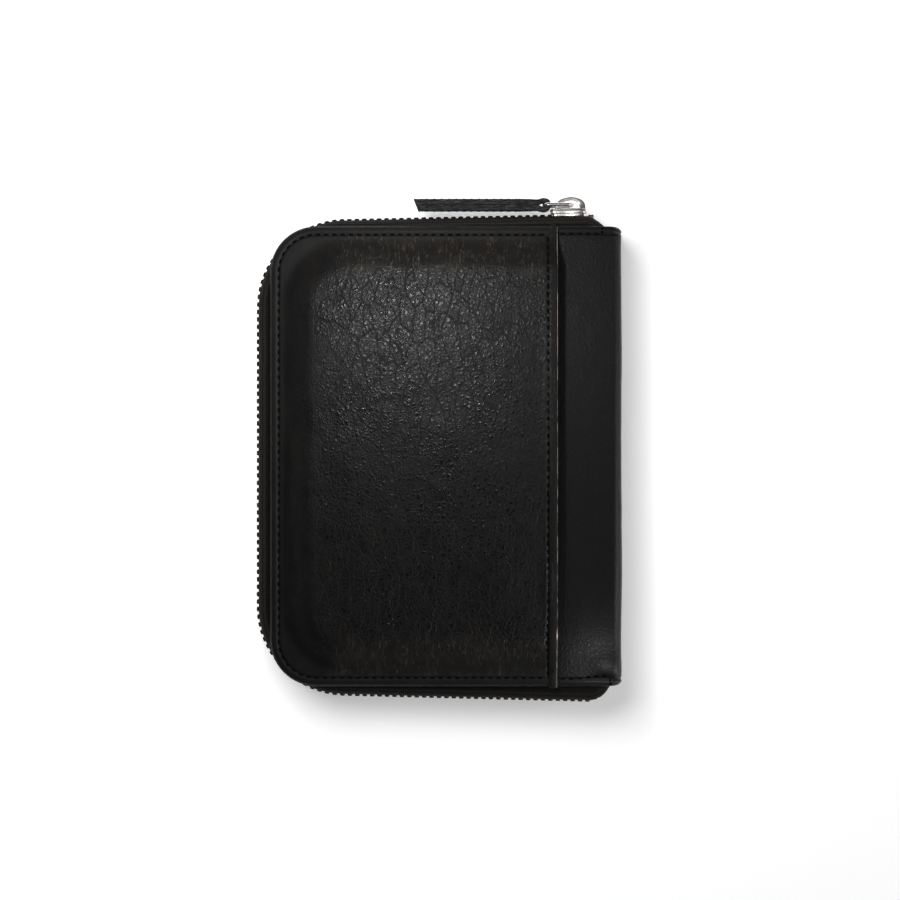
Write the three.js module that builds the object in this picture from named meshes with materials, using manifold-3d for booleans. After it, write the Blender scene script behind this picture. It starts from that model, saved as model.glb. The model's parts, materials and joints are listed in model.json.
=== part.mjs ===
// Zip-around travel document organizer in black leather, in millimetres, lying closed on its back cover.
// +Z is up through the thickness, +Y runs along the spine and +X points from the fore-edge to the spine.
// The origin is the centre of the back cover's outer face.
import * as THREE from "three";
import { mergeVertices } from "three/addons/utils/BufferGeometryUtils.js";
import Module from "manifold-3d";

const wasm = await Module();
wasm.setup();

// ---- Driving dimensions ----

const COVER_WIDTH = 118; // fore-edge to the outside of the spine
const COVER_HEIGHT = 154; // along the spine
const BODY_THICKNESS = 20; // between the outer faces of the two covers
const COVER_CORNER = 15; // radius of the covers' fore-edge corners
const LEATHER = 1.3;
const BOARD = 0.8; // the stiffener, and the room between leather and lining
const LINING = 0.5;
const SLEEVE = 0.8; // one inner pocket panel
const SEAM = 3; // from a cover's edge to its stitching
const FOLD_RADIUS = 1.25; // leather bent round each long edge of the spine
const MOVING_GAP = 0.3;

const PASSPORT = { width: 88, height: 125, thickness: 4.4 }; // what the outer pocket is formed round
const POCKET_MOUTH = 37; // x of the outer pocket's open edge
const MOUTH_BINDING = { width: 3.2, thickness: 0.7 };

const CHAIN_WIDTH = 2.8; // one row of zip elements, through the thickness
const CHAIN_HEIGHT = 2.4; // how thick the row is, square to the tape
const ROW_GAP = 0.2; // from the zip's middle plane to each row
const TAPE = 0.6;
const TAPE_FLANGE = 10; // from the chain's centreline to the tape's sewn edge
const TAPE_BEND = 3.3; // the tape's bend from wall to flange, at its middle
const ZIP_CORNER = 28; // radius of the zip's path round the fore-edge corners

const LEFT = -COVER_WIDTH / 2;
const SPINE_FACE = COVER_WIDTH / 2;
const TOP = COVER_HEIGHT / 2;
const MIDDLE = BODY_THICKNESS / 2;
const HINGE_X = SPINE_FACE - FOLD_RADIUS;
const COVER_RIGHT = HINGE_X - FOLD_RADIUS - MOVING_GAP;

// ---- Materials ----

const leather = () => new THREE.MeshStandardMaterial({ color: 0x1b1a1a, roughness: 0.5, metalness: 0 });
const fabric = () => new THREE.MeshStandardMaterial({ color: 0x24211f, roughness: 0.9, metalness: 0 });
const card = () => new THREE.MeshStandardMaterial({ color: 0x6b645a, roughness: 0.95, metalness: 0 });
const nylon = () => new THREE.MeshStandardMaterial({ color: 0x141312, roughness: 0.6, metalness: 0 });
const nickel = () => new THREE.MeshStandardMaterial({ color: 0xd9d8d4, roughness: 0.2, metalness: 1 });

// ---- Geometry helpers ----

// An upright rectangle with one radius for its two left corners and one for its two right corners.
function panelShape(left, right, bottom, top, leftRadius, rightRadius) {
  const quarter = Math.PI / 2;
  const shape = new THREE.Shape();
  shape.moveTo(left + leftRadius, bottom);
  shape.lineTo(right - rightRadius, bottom);
  shape.absarc(right - rightRadius, bottom + rightRadius, rightRadius, -quarter, 0);
  shape.lineTo(right, top - rightRadius);
  shape.absarc(right - rightRadius, top - rightRadius, rightRadius, 0, quarter);
  shape.lineTo(left + leftRadius, top);
  shape.absarc(left + leftRadius, top - leftRadius, leftRadius, quarter, 2 * quarter);
  shape.lineTo(left, bottom + leftRadius);
  shape.absarc(left + leftRadius, bottom + leftRadius, leftRadius, 2 * quarter, 3 * quarter);
  return shape;
}

// A flat sheet of a shape in X and Y, from one height up by its thickness.
function sheet(shape, bottom, thickness) {
  const settings = { depth: thickness, bevelEnabled: false, curveSegments: 8 };
  return new THREE.ExtrudeGeometry(shape, settings).translate(0, 0, bottom);
}

// A shape in X and Z, extruded along Y and centred on Y = 0.
function alongSpine(shape, length) {
  const settings = { depth: length, bevelEnabled: false, curveSegments: 8 };
  return new THREE.ExtrudeGeometry(shape, settings).rotateX(Math.PI / 2).translate(0, length / 2, 0);
}

// A solid between two outlines of equally many points, each [height, points], the lower one first.
function loft([low, lowPoints], [high, highPoints]) {
  const count = lowPoints.length;
  const vertices = [];
  for (const point of lowPoints) vertices.push(point.x, point.y, low);
  for (const point of highPoints) vertices.push(point.x, point.y, high);
  const faces = [];
  for (let i = 0; i < count; i++) {
    const next = (i + 1) % count;
    faces.push(i, next, count + next, i, count + next, count + i);
  }
  for (const [a, b, c] of THREE.ShapeUtils.triangulateShape(lowPoints, [])) faces.push(a, c, b);
  for (const [a, b, c] of THREE.ShapeUtils.triangulateShape(highPoints, [])) {
    faces.push(count + a, count + b, count + c);
  }
  const geometry = new THREE.BufferGeometry();
  geometry.setAttribute("position", new THREE.Float32BufferAttribute(vertices, 3));
  geometry.setIndex(faces);
  return geometry;
}

function toSolid(geometry) {
  const bare = geometry.clone();
  bare.deleteAttribute("normal");
  bare.deleteAttribute("uv");
  const merged = mergeVertices(bare, 1e-3);
  return new wasm.Manifold(
    new wasm.Mesh({
      numProp: 3,
      vertProperties: merged.attributes.position.array,
      triVerts: new Uint32Array(merged.index.array),
    }),
  );
}

function toGeometry(solid) {
  const mesh = solid.getMesh();
  const geometry = new THREE.BufferGeometry();
  geometry.setAttribute("position", new THREE.BufferAttribute(mesh.vertProperties, 3));
  geometry.setIndex(new THREE.BufferAttribute(mesh.triVerts, 1));
  geometry.computeVertexNormals();
  return geometry;
}

function box(left, right, front, back, bottom, top) {
  const geometry = new THREE.BoxGeometry(right - left, back - front, top - bottom);
  return geometry.translate((left + right) / 2, (front + back) / 2, (bottom + top) / 2);
}

function named(name, geometry, material) {
  const mesh = new THREE.Mesh(geometry, material);
  mesh.name = name;
  return mesh;
}

// ---- Zip path ----

// Centreline of the closed chain, at the middle of the thickness. It stands further out at the spine ends
// than at the fore-edge corners, where it passes under the covers.
const ZIP_LEFT = LEFT - 3.3;
const TOP_RUN = { spineEnd: TOP + 3.3, cornerEnd: TOP + 1.6 };
const BOTTOM_RUN = { spineEnd: -TOP - 3.8, cornerEnd: -TOP - 1.8 };
const CORNER_X = ZIP_LEFT + ZIP_CORNER;
const RUN_REFERENCE = 47; // x where the spineEnd offsets are measured
const TAPE_END = 52;

const runHeight = (run, x) =>
  run.cornerEnd + ((run.spineEnd - run.cornerEnd) * (x - CORNER_X)) / (RUN_REFERENCE - CORNER_X);
const TOP_SLOPE = Math.atan2(TOP_RUN.spineEnd - TOP_RUN.cornerEnd, RUN_REFERENCE - CORNER_X);

// From the top spine end at x = topEnd round the three zipped sides to the bottom end at x = bottomEnd.
function zipPath(topEnd, bottomEnd) {
  const at = (x, y) => new THREE.Vector3(x, y, MIDDLE);
  const roundness = 0.55 * ZIP_CORNER; // handle length that makes a cubic curve a quarter circle
  const topStart = at(topEnd, runHeight(TOP_RUN, topEnd));
  const topCorner = at(CORNER_X, TOP_RUN.cornerEnd);
  const leftTop = at(ZIP_LEFT, TOP_RUN.cornerEnd - ZIP_CORNER);
  const leftBottom = at(ZIP_LEFT, BOTTOM_RUN.cornerEnd + ZIP_CORNER);
  const bottomCorner = at(CORNER_X, BOTTOM_RUN.cornerEnd);
  const bottomStart = at(bottomEnd, runHeight(BOTTOM_RUN, bottomEnd));
  const handle = (from, towards, scale) =>
    towards.clone().sub(from).normalize().multiplyScalar(scale * roundness).add(from);
  const path = new THREE.CurvePath();
  path.add(new THREE.LineCurve3(topStart, topCorner));
  path.add(
    new THREE.CubicBezierCurve3(topCorner, handle(topCorner, topStart, -1), handle(leftTop, leftBottom, -1), leftTop),
  );
  path.add(new THREE.LineCurve3(leftTop, leftBottom));
  path.add(
    new THREE.CubicBezierCurve3(
      leftBottom,
      handle(leftBottom, leftTop, -1),
      handle(bottomCorner, bottomStart, -1),
      bottomCorner,
    ),
  );
  path.add(new THREE.LineCurve3(bottomCorner, bottomStart));
  return path;
}

// Sweeps a section, given as [outward, up] points from the chain's centreline, along a zip path.
function sweepZip(section, path) {
  const shape = new THREE.Shape(section.map(([outward, up]) => new THREE.Vector2(-up, -outward)));
  return new THREE.ExtrudeGeometry(shape, { steps: 74, extrudePath: path, bevelEnabled: false });
}

// side is 1 for the front cover's half of the zip and -1 for the back cover's.
function tapeSection(side) {
  const flange = BODY_THICKNESS / 2 - LEATHER - BOARD / 2;
  const bendStart = flange - TAPE_BEND;
  const wallStart = ROW_GAP + CHAIN_WIDTH + 0.2;
  const bendSteps = 4;
  const outer = [];
  const inner = [];
  for (let i = 0; i <= bendSteps; i++) {
    const angle = (i / bendSteps) * (Math.PI / 2);
    const point = (radius) => [
      radius * Math.cos(angle) - TAPE_BEND,
      side * (bendStart + radius * Math.sin(angle)),
    ];
    outer.push(point(TAPE_BEND + TAPE / 2));
    inner.unshift(point(TAPE_BEND - TAPE / 2));
  }
  return [
    [TAPE / 2, side * wallStart],
    ...outer,
    [-TAPE_FLANGE, side * (flange + TAPE / 2)],
    [-TAPE_FLANGE, side * (flange - TAPE / 2)],
    ...inner,
    [-TAPE / 2, side * wallStart],
  ];
}

function rowSection(side) {
  const [low, high] = [side * ROW_GAP, side * (ROW_GAP + CHAIN_WIDTH)];
  const half = CHAIN_HEIGHT / 2;
  return [
    [-half, low],
    [half, low],
    [half, high],
    [-half, high],
  ];
}

// ---- Covers ----

// The z range of a layer of a cover, from depths below its outer face. side as in tapeSection.
function layer(side, depth, thickness) {
  const bottom = side > 0 ? BODY_THICKNESS - depth - thickness : depth;
  return [bottom, thickness];
}

const coverShape = () => panelShape(LEFT, COVER_RIGHT, -TOP, TOP, COVER_CORNER, 0.5);

function coverPieces(label, side) {
  const boardInset = 9.5;
  const liningInset = 2;
  const boardShape = panelShape(LEFT + 8, COVER_RIGHT - 3, -TOP + boardInset, TOP - boardInset, 20, 2);
  const liningShape = panelShape(
    LEFT + liningInset,
    COVER_RIGHT - 1.5,
    -TOP + liningInset,
    TOP - liningInset,
    26,
    2,
  );
  return [
    named(`${label}_cover_leather`, sheet(coverShape(), ...layer(side, 0, LEATHER)), leather()),
    named(`${label}_cover_board`, sheet(boardShape, ...layer(side, LEATHER, BOARD)), card()),
    named(`${label}_cover_lining`, sheet(liningShape, ...layer(side, LEATHER + BOARD, LINING)), fabric()),
  ];
}

// ---- Spine ----

// The spine wall with a rounded fold along each long edge, concentric with the two fold axes.
function spineLeather() {
  const low = FOLD_RADIUS;
  const high = BODY_THICKNESS - FOLD_RADIUS;
  const shape = new THREE.Shape();
  shape.moveTo(SPINE_FACE, low);
  shape.lineTo(SPINE_FACE, high);
  shape.absarc(HINGE_X, high, FOLD_RADIUS, 0, 1.5 * Math.PI);
  shape.lineTo(HINGE_X, low + FOLD_RADIUS);
  shape.absarc(HINGE_X, low, FOLD_RADIUS, 0.5 * Math.PI, 2 * Math.PI);
  return named("spine_leather", alongSpine(shape, COVER_HEIGHT - 0.6), leather());
}

function spineLining() {
  const clear = 3.2; // keeps the lining off both folds
  const bottom = -TOP + 3;
  const geometry = box(HINGE_X - LINING, HINGE_X, bottom, -bottom, clear, BODY_THICKNESS - clear);
  return named("spine_lining", geometry, fabric());
}

// ---- Inner pockets ----

const SLEEVE_LEFT = LEFT + 10;
const SLEEVE_RIGHT = 49;
const SLEEVE_BOTTOM = -TOP + 9;
const LINED = LEATHER + BOARD + LINING;

function innerPocket(name, side, depth, top) {
  const shape = panelShape(SLEEVE_LEFT, SLEEVE_RIGHT, SLEEVE_BOTTOM, top, 3, 3);
  return named(name, sheet(shape, ...layer(side, depth, SLEEVE)), leather());
}

// One tall sleeve with four card pockets stepped in front of it, each as wide as the sleeve.
function backPockets() {
  const cardStep = 14;
  const highestCardTop = 26;
  const pockets = [innerPocket("document_sleeve", -1, LINED, 52)];
  for (let i = 0; i < 4; i++) {
    const top = highestCardTop - i * cardStep;
    pockets.push(innerPocket(`card_pocket_${i + 1}`, -1, LINED + (i + 1) * SLEEVE, top));
  }
  return pockets;
}

// ---- Outer passport pocket ----

const POCKET_SLOPE_FOOT = SEAM + 0.6; // from the cover's edge to where the leather starts to rise
const FRONT = BODY_THICKNESS;
const POCKET_ROOF = FRONT + PASSPORT.thickness + 0.2; // underside of the raised leather

// Outline of the formed leather at a height measured on its underside: widest at the cover, narrowest at the roof.
function pocketOutline(height) {
  const beyondMouth = POCKET_MOUTH + 6;
  const rise = (height - FRONT) / (POCKET_ROOF - FRONT);
  const between = (foot, roof) => foot + (roof - foot) * rise;
  const left = between(LEFT + POCKET_SLOPE_FOOT, POCKET_MOUTH + 1 - PASSPORT.width);
  const top = between(TOP - POCKET_SLOPE_FOOT, PASSPORT.height / 2 + 1);
  const radius = between(12, 4);
  return panelShape(left, beyondMouth, -top, top, radius, 0.5).getPoints(6);
}

function outerPocketPanel() {
  const flange = toSolid(sheet(panelShape(LEFT, POCKET_MOUTH, -TOP, TOP, COVER_CORNER, 0.2), FRONT, LEATHER));
  const inFlange = FRONT - 0.6;
  const belowFlange = FRONT - 1;
  const raised = loft(
    [inFlange + LEATHER, pocketOutline(inFlange)],
    [POCKET_ROOF + LEATHER, pocketOutline(POCKET_ROOF)],
  );
  const hollow = loft([belowFlange, pocketOutline(belowFlange)], [POCKET_ROOF, pocketOutline(POCKET_ROOF)]);
  const pastMouth = box(POCKET_MOUTH, POCKET_MOUTH + 20, -TOP - 5, TOP + 5, FRONT - 5, POCKET_ROOF + 10);
  const panel = flange.add(toSolid(raised)).subtract(toSolid(hollow)).subtract(toSolid(pastMouth));
  return named("outer_pocket_panel", toGeometry(panel), leather());
}

// A strip over the pocket's open edge, following the raised leather from seam to seam.
function pocketBinding() {
  const gap = 0.1;
  const foot = TOP - POCKET_SLOPE_FOOT;
  const roof = PASSPORT.height / 2 + 1;
  const surface = [
    [-TOP, FRONT + LEATHER],
    [-foot, FRONT + LEATHER],
    [-roof, POCKET_ROOF + LEATHER],
    [roof, POCKET_ROOF + LEATHER],
    [foot, FRONT + LEATHER],
    [TOP, FRONT + LEATHER],
  ];
  const raisedBy = (amount) => surface.map(([y, z]) => new THREE.Vector2(y, z + amount));
  const shape = new THREE.Shape([...raisedBy(gap), ...raisedBy(MOUTH_BINDING.thickness).reverse()]);
  const settings = { depth: MOUTH_BINDING.width, bevelEnabled: false };
  const geometry = new THREE.ExtrudeGeometry(shape, settings);
  // The shape's X becomes Y, its Y becomes Z and its depth becomes X.
  geometry.rotateX(Math.PI / 2).rotateZ(Math.PI / 2);
  geometry.translate(POCKET_MOUTH - MOUTH_BINDING.width, 0, 0);
  return named("outer_pocket_binding", geometry, leather());
}

// ---- Zip ----

const SLIDER_CENTRE = 41.2; // x of the slider's middle with the zip closed
const SLIDER_LENGTH = 12.4;
const ROW_TOP_END = SLIDER_CENTRE + 2.6; // the rows stop behind the slider's neck
const ROW_BOTTOM_END = 49;

function zipHalf(label, side) {
  const tape = sweepZip(tapeSection(side), zipPath(TAPE_END, TAPE_END));
  const row = sweepZip(rowSection(side), zipPath(ROW_TOP_END, ROW_BOTTOM_END));
  return [named(`${label}_zip_tape`, tape, fabric()), named(`${label}_zip_teeth`, row, nylon())];
}

// A group on the chain's centreline at x, with its X along the top run.
function onTopRun(x) {
  const group = new THREE.Group();
  group.position.set(x, runHeight(TOP_RUN, x), MIDDLE);
  group.rotation.z = TOP_SLOPE;
  return group;
}

function topStop(label, side) {
  const group = onTopRun(SLIDER_CENTRE);
  const start = SLIDER_LENGTH / 2 + 0.3;
  const [near, far] = [1.2, ROW_GAP + CHAIN_WIDTH];
  const [low, high] = side > 0 ? [near, far] : [-far, -near];
  group.add(named(`${label}_top_stop`, box(start, start + 2, -1.1, 1.1, low, high), nickel()));
  return group;
}

function bottomStop() {
  const x = ROW_BOTTOM_END + 0.4;
  const y = runHeight(BOTTOM_RUN, x + 1);
  const half = ROW_GAP + CHAIN_WIDTH;
  return named("bottom_stop", box(x, x + 2, y - 1.2, y + 1.2, MIDDLE - half, MIDDLE + half), nickel());
}

// ---- Slider and pull ----

// Heights above the chain's centreline, square to the tape.
const CHANNEL = CHAIN_HEIGHT / 2 + 0.3;
const PLATE = 1.6;
const PLATE_TOP = CHANNEL + PLATE;
const SLIDER_HALF_WIDTH = 4.4;
const CROWN_HEIGHT = 4.2;
const CROWN_HALF_WIDTH = 1.6;
const LINK_HEIGHT = 4.5; // of the pull link's middle
const LINK_RADIUS = 0.6;
const LINK_PIVOT = 1.2; // x of the link's bar inside the crown, from the slider's middle
const LINK_LENGTH = 9.3; // between the middles of its two bars
const LINK_HALF_WIDTH = 4.3;

// A shape in X and Z, extruded from one height to another along Y.
function upright(shape, from, to) {
  const settings = { depth: to - from, bevelEnabled: false, curveSegments: 6 };
  return new THREE.ExtrudeGeometry(shape, settings).rotateX(Math.PI / 2).translate(0, to, 0);
}

// Two plates with turned-in edges, joined by the neck that parts the two rows.
function sliderBody() {
  const half = SLIDER_LENGTH / 2;
  const plate = panelShape(-half, half, -SLIDER_HALF_WIDTH, SLIDER_HALF_WIDTH, 1.6, 2.4);
  const lip = 0.6; // from the chain's centreline to each turned-in edge
  const lipInner = SLIDER_HALF_WIDTH - 0.9;
  const neck = panelShape(3, half - 0.4, -1.1, 1.1, 1, 0.6);
  const parts = [upright(plate, -CHANNEL - PLATE, -CHANNEL), upright(neck, -CHANNEL - 0.5, CHANNEL + 0.5)];
  for (const side of [-1, 1]) {
    const [low, high] = side > 0 ? [lipInner, SLIDER_HALF_WIDTH] : [-SLIDER_HALF_WIDTH, -lipInner];
    parts.push(box(-half + 1.5, half - 2.2, lip, CHANNEL + 0.5, low, high));
    parts.push(box(-half + 1.5, half - 2.2, -CHANNEL - 0.5, -lip, low, high));
  }
  let solid = toSolid(upright(plate, CHANNEL, PLATE_TOP));
  for (const part of parts) solid = solid.add(toSolid(part));
  return named("slider_body", toGeometry(solid), nickel());
}

// The domed crown that holds the pull link, extruded across the slider.
function sliderCrown() {
  const base = PLATE_TOP + 0.05;
  const top = PLATE_TOP + CROWN_HEIGHT;
  const shape = new THREE.Shape();
  shape.moveTo(-5, base);
  shape.lineTo(5.8, base);
  shape.bezierCurveTo(6, top - 1, 4.4, top, 1.5, top);
  shape.bezierCurveTo(-2.5, top, -4.8, top - 1, -5, base);
  const hole = new THREE.Path();
  hole.moveTo(-2.4, base + 0.5);
  hole.bezierCurveTo(-2.2, base + 2.2, -0.8, top - 1.2, 1, top - 1.2);
  hole.bezierCurveTo(2.8, top - 1.2, 3.7, base + 2.4, 3.8, base + 0.5);
  hole.closePath();
  shape.holes.push(hole);
  const settings = { depth: 2 * CROWN_HALF_WIDTH, bevelEnabled: false, curveSegments: 8 };
  const geometry = new THREE.ExtrudeGeometry(shape, settings).translate(0, 0, -CROWN_HALF_WIDTH);
  return named("slider_crown", geometry, nickel());
}

// A rounded rectangular wire ring lying flat, with its pivot bar at the group's origin.
function pullLink() {
  const bevel = LINK_RADIUS / 2;
  const ring = (grow) =>
    panelShape(
      -LINK_LENGTH - grow,
      grow,
      -LINK_HALF_WIDTH - grow,
      LINK_HALF_WIDTH + grow,
      1.4 + grow,
      1.4 + grow,
    );
  const shape = ring(LINK_RADIUS - bevel);
  shape.holes.push(ring(bevel - LINK_RADIUS));
  const settings = {
    depth: LINK_RADIUS,
    bevelEnabled: true,
    bevelThickness: bevel,
    bevelSize: bevel,
    bevelSegments: 1,
    curveSegments: 3,
  };
  const geometry = new THREE.ExtrudeGeometry(shape, settings);
  geometry.translate(0, 0, -LINK_RADIUS / 2).rotateX(Math.PI / 2);
  return named("pull_link", geometry, nickel());
}

// A folded leather strap seen along Z: two layers that part into a loop round the link's outer bar.
function pullStrap() {
  const halfThickness = 1.95;
  const tip = -53.4; // the strap's free end, from the link's pivot
  const loopX = -LINK_LENGTH - 0.6;
  const loopLength = 2.6;
  const loopHeight = 2.75;
  const shape = new THREE.Shape();
  shape.moveTo(tip + 1.6, -halfThickness);
  shape.lineTo(loopX - 8, -halfThickness);
  shape.bezierCurveTo(loopX - 5, -halfThickness, loopX - 3, -loopHeight, loopX, -loopHeight);
  shape.absellipse(loopX, 0, loopLength, loopHeight, -Math.PI / 2, Math.PI / 2);
  shape.bezierCurveTo(loopX - 3, loopHeight, loopX - 5, halfThickness, loopX - 8, halfThickness);
  shape.lineTo(tip, halfThickness);
  const hole = new THREE.Path();
  hole.absellipse(loopX, 0, 1.4, 1.05, 0, 2 * Math.PI);
  shape.holes.push(hole);
  const halfWidth = 3.4;
  const settings = { depth: 2 * halfWidth, bevelEnabled: false, curveSegments: 6 };
  const geometry = new THREE.ExtrudeGeometry(shape, settings).translate(0, 0, -halfWidth);
  return named("pull_strap", geometry, leather());
}

// The slider follows the top run's slope; the link and strap lie level along X.
function sliderAssembly() {
  const slider = onTopRun(SLIDER_CENTRE);
  const pull = new THREE.Group();
  pull.position.set(LINK_PIVOT, LINK_HEIGHT, 0);
  pull.rotation.z = -TOP_SLOPE;
  pull.add(pullLink(), pullStrap());
  slider.add(sliderBody(), sliderCrown(), pull);
  return slider;
}

// ---- Assembly ----

const organizer = new THREE.Group();
organizer.add(...coverPieces("back", -1), ...zipHalf("back", -1), ...backPockets());
organizer.add(topStop("back", -1), bottomStop());
organizer.add(spineLeather(), spineLining());
organizer.add(...coverPieces("front", 1), ...zipHalf("front", 1), topStop("front", 1));
organizer.add(innerPocket("ticket_sleeve", 1, LINED, 40));
organizer.add(outerPocketPanel(), pocketBinding());
organizer.add(sliderAssembly());

export default organizer;
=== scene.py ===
"""Visual model of the zip-around travel document organizer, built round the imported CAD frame.

Meshes are worked out in millimetres, in the CAD frame, and scaled to metres when they become objects.
"""

import json
import math

import bmesh
import bpy
import numpy as np
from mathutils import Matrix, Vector

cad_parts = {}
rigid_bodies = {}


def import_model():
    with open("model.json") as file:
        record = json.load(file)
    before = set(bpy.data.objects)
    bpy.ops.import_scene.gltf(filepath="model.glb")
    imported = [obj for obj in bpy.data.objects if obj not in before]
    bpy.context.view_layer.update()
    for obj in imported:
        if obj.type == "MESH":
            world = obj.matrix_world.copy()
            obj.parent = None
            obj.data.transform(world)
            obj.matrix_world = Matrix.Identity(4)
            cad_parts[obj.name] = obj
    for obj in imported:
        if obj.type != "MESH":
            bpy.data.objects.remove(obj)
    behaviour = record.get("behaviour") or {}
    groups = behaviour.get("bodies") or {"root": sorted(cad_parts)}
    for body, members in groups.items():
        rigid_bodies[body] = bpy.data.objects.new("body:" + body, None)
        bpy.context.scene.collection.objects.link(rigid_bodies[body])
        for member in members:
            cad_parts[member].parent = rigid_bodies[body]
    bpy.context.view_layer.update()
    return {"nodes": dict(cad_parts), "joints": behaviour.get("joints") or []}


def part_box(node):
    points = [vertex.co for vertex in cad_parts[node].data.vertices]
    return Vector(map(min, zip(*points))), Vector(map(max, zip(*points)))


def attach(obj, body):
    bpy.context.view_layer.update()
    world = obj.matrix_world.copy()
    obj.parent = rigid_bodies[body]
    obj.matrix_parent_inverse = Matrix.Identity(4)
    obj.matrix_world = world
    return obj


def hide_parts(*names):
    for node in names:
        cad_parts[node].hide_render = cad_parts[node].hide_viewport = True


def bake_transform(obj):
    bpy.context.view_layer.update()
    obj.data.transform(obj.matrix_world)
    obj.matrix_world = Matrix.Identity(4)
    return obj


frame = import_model()

MM = 0.001


def node_box(node):
    """Lowest and highest corner of a CAD node, in millimetres."""
    low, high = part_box(node)
    return np.array(low) / MM, np.array(high) / MM


def joint_place(name):
    """Where a hinge's axis passes, in millimetres."""
    joint = next(j for j in frame["joints"] if j["name"] == name)
    return np.array(joint["pos_m"]) / MM


# ---- Sizes, in millimetres ----

COVER_LOW, COVER_HIGH = node_box("front_cover_leather")
POCKET_HIGH = node_box("outer_pocket_panel")[1]
TAPE_TOP = node_box("front_zip_tape")[1][2]

LEFT = COVER_LOW[0]
TOP = COVER_HIGH[1]
THICKNESS = COVER_HIGH[2]
MIDDLE = THICKNESS / 2
SPINE_FACE = node_box("spine_leather")[1][0]
MOUTH = POCKET_HIGH[0]
LEATHER = COVER_HIGH[2] - COVER_LOW[2]
POCKET_RISE = POCKET_HIGH[2] - THICKNESS - LEATHER
POCKET_CROWN = 0.6  # how much of that rise only the pocket's middle has

COVER_CORNER = 15.5
KEPT_RADIUS = 5.0  # a corner keeps this much radius as its outline moves in
EDGE_ROUND = 0.5
SEAM = 2.5
SLOPE_MIDDLE = 9.0  # from the cover's edge to the middle of the slope round the formed pocket
SLOPE_HALF = 5.4
PLATEAU_CORNER = 17.0
SPINE_ROUND = 3.0
SPINE_FLAT = SPINE_FACE - SPINE_ROUND  # x where the covers' leather starts to turn down
ARC = SPINE_ROUND * math.pi / 2
PUFF_X = 54.0  # where the front leather puffs up beside the end of its stitching
PUFF_FROM_END = 6.5
PUFF_RISE = 1.1
TABLE_GAP = 0.12  # keeps the back leather's waves above the table

STITCH = {"length": 1.95, "pitch": 2.75, "width": 0.72, "height": 0.36}

# The zip's path, as in the CAD model: its centreline's offsets and corner.
CHAIN_HALF = 1.2
ZIP_LEFT = node_box("front_zip_teeth")[0][0] + CHAIN_HALF
ZIP_CORNER = 28.0
CORNER_X = ZIP_LEFT + ZIP_CORNER
RUN_REFERENCE = 47.0
TOP_RUN = (TOP + 1.6, TOP + 3.3)  # height at the fore-edge corner and at the reference x
BOTTOM_RUN = (-TOP - 1.8, -TOP - 3.8)
TOP_SLOPE = math.atan2(TOP_RUN[1] - TOP_RUN[0], RUN_REFERENCE - CORNER_X)
TOOTH_PITCH = 2.5
SLIDER_X = 41.2
SLIDER_Y = TOP_RUN[0] + (TOP_RUN[1] - TOP_RUN[0]) * (SLIDER_X - CORNER_X) / (RUN_REFERENCE - CORNER_X)


# ---- Noise ----


def plane_noise(x, y, cell_x, cell_y, seed):
    """Smooth noise between -1 and 1 over a plane, its bumps about a cell apart."""
    size = 512
    grid = np.random.default_rng(seed).uniform(-1, 1, (size, size))
    fx, fy = np.asarray(x) / cell_x + size / 2, np.asarray(y) / cell_y + size / 2
    ix, iy = np.floor(fx).astype(int), np.floor(fy).astype(int)
    tx, ty = fx - ix, fy - iy
    tx, ty = tx * tx * (3 - 2 * tx), ty * ty * (3 - 2 * ty)
    low = grid[ix % size, iy % size] * (1 - tx) + grid[(ix + 1) % size, iy % size] * tx
    high = grid[ix % size, (iy + 1) % size] * (1 - tx) + grid[(ix + 1) % size, (iy + 1) % size] * tx
    return low * (1 - ty) + high * ty


def ridges(x, y, cell_x, cell_y, seed, sharpness=4.0):
    """Thin folds between 0 and 1, along the lines where smooth noise crosses zero."""
    return np.exp(-((plane_noise(x, y, cell_x, cell_y, seed) * sharpness) ** 2))


def smoothstep(low, high, value):
    t = np.clip((value - low) / (high - low), 0, 1)
    return t * t * (3 - 2 * t)


def bell(distance, width):
    """1 where the distance is 0, falling smoothly to nothing over about twice the width."""
    return np.exp(-((distance / width) ** 2))


# ---- Mesh helpers ----


def make_object(name, vertices, faces, material, floats=None):
    """A smooth mesh object from vertices in millimetres, with optional named numbers for each vertex."""
    mesh = bpy.data.meshes.new(name)
    mesh.from_pydata((np.asarray(vertices) * MM).tolist(), [], [list(map(int, f)) for f in faces])
    for key, values in (floats or {}).items():
        attribute = mesh.attributes.new(key, "FLOAT", "POINT")
        attribute.data.foreach_set("value", np.asarray(values, np.float32))
    obj = bpy.data.objects.new(name, mesh)
    bpy.context.collection.objects.link(obj)
    mesh.materials.append(material)
    mesh.polygons.foreach_set("use_smooth", [True] * len(mesh.polygons))
    return obj

def weld(obj, distance=0.004):
    """Joins vertices that share a place, drops faces that this leaves empty and turns all faces outward."""
    bm = bmesh.new()
    bm.from_mesh(obj.data)
    bmesh.ops.remove_doubles(bm, verts=bm.verts, dist=distance * MM)
    bmesh.ops.dissolve_degenerate(bm, edges=bm.edges, dist=1e-7)
    bmesh.ops.recalc_face_normals(bm, faces=bm.faces)
    bm.to_mesh(obj.data)
    bm.free()
    return obj


class Parts:
    """Collects many small meshes into one."""

    def __init__(self):
        self.vertices = []
        self.faces = []
        self.count = 0

    def add(self, vertices, faces):
        self.vertices.append(np.asarray(vertices, float))
        self.faces.extend([[i + self.count for i in face] for face in faces])
        self.count += len(vertices)

    def loft(self, rows):
        """Adds a closed body through rings of points."""
        self.add(np.vstack(rows), loft_faces(len(rows), len(rows[0])))

    def build(self, name, material):
        return weld(make_object(name, np.vstack(self.vertices), self.faces, material), 0.0001)


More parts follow.
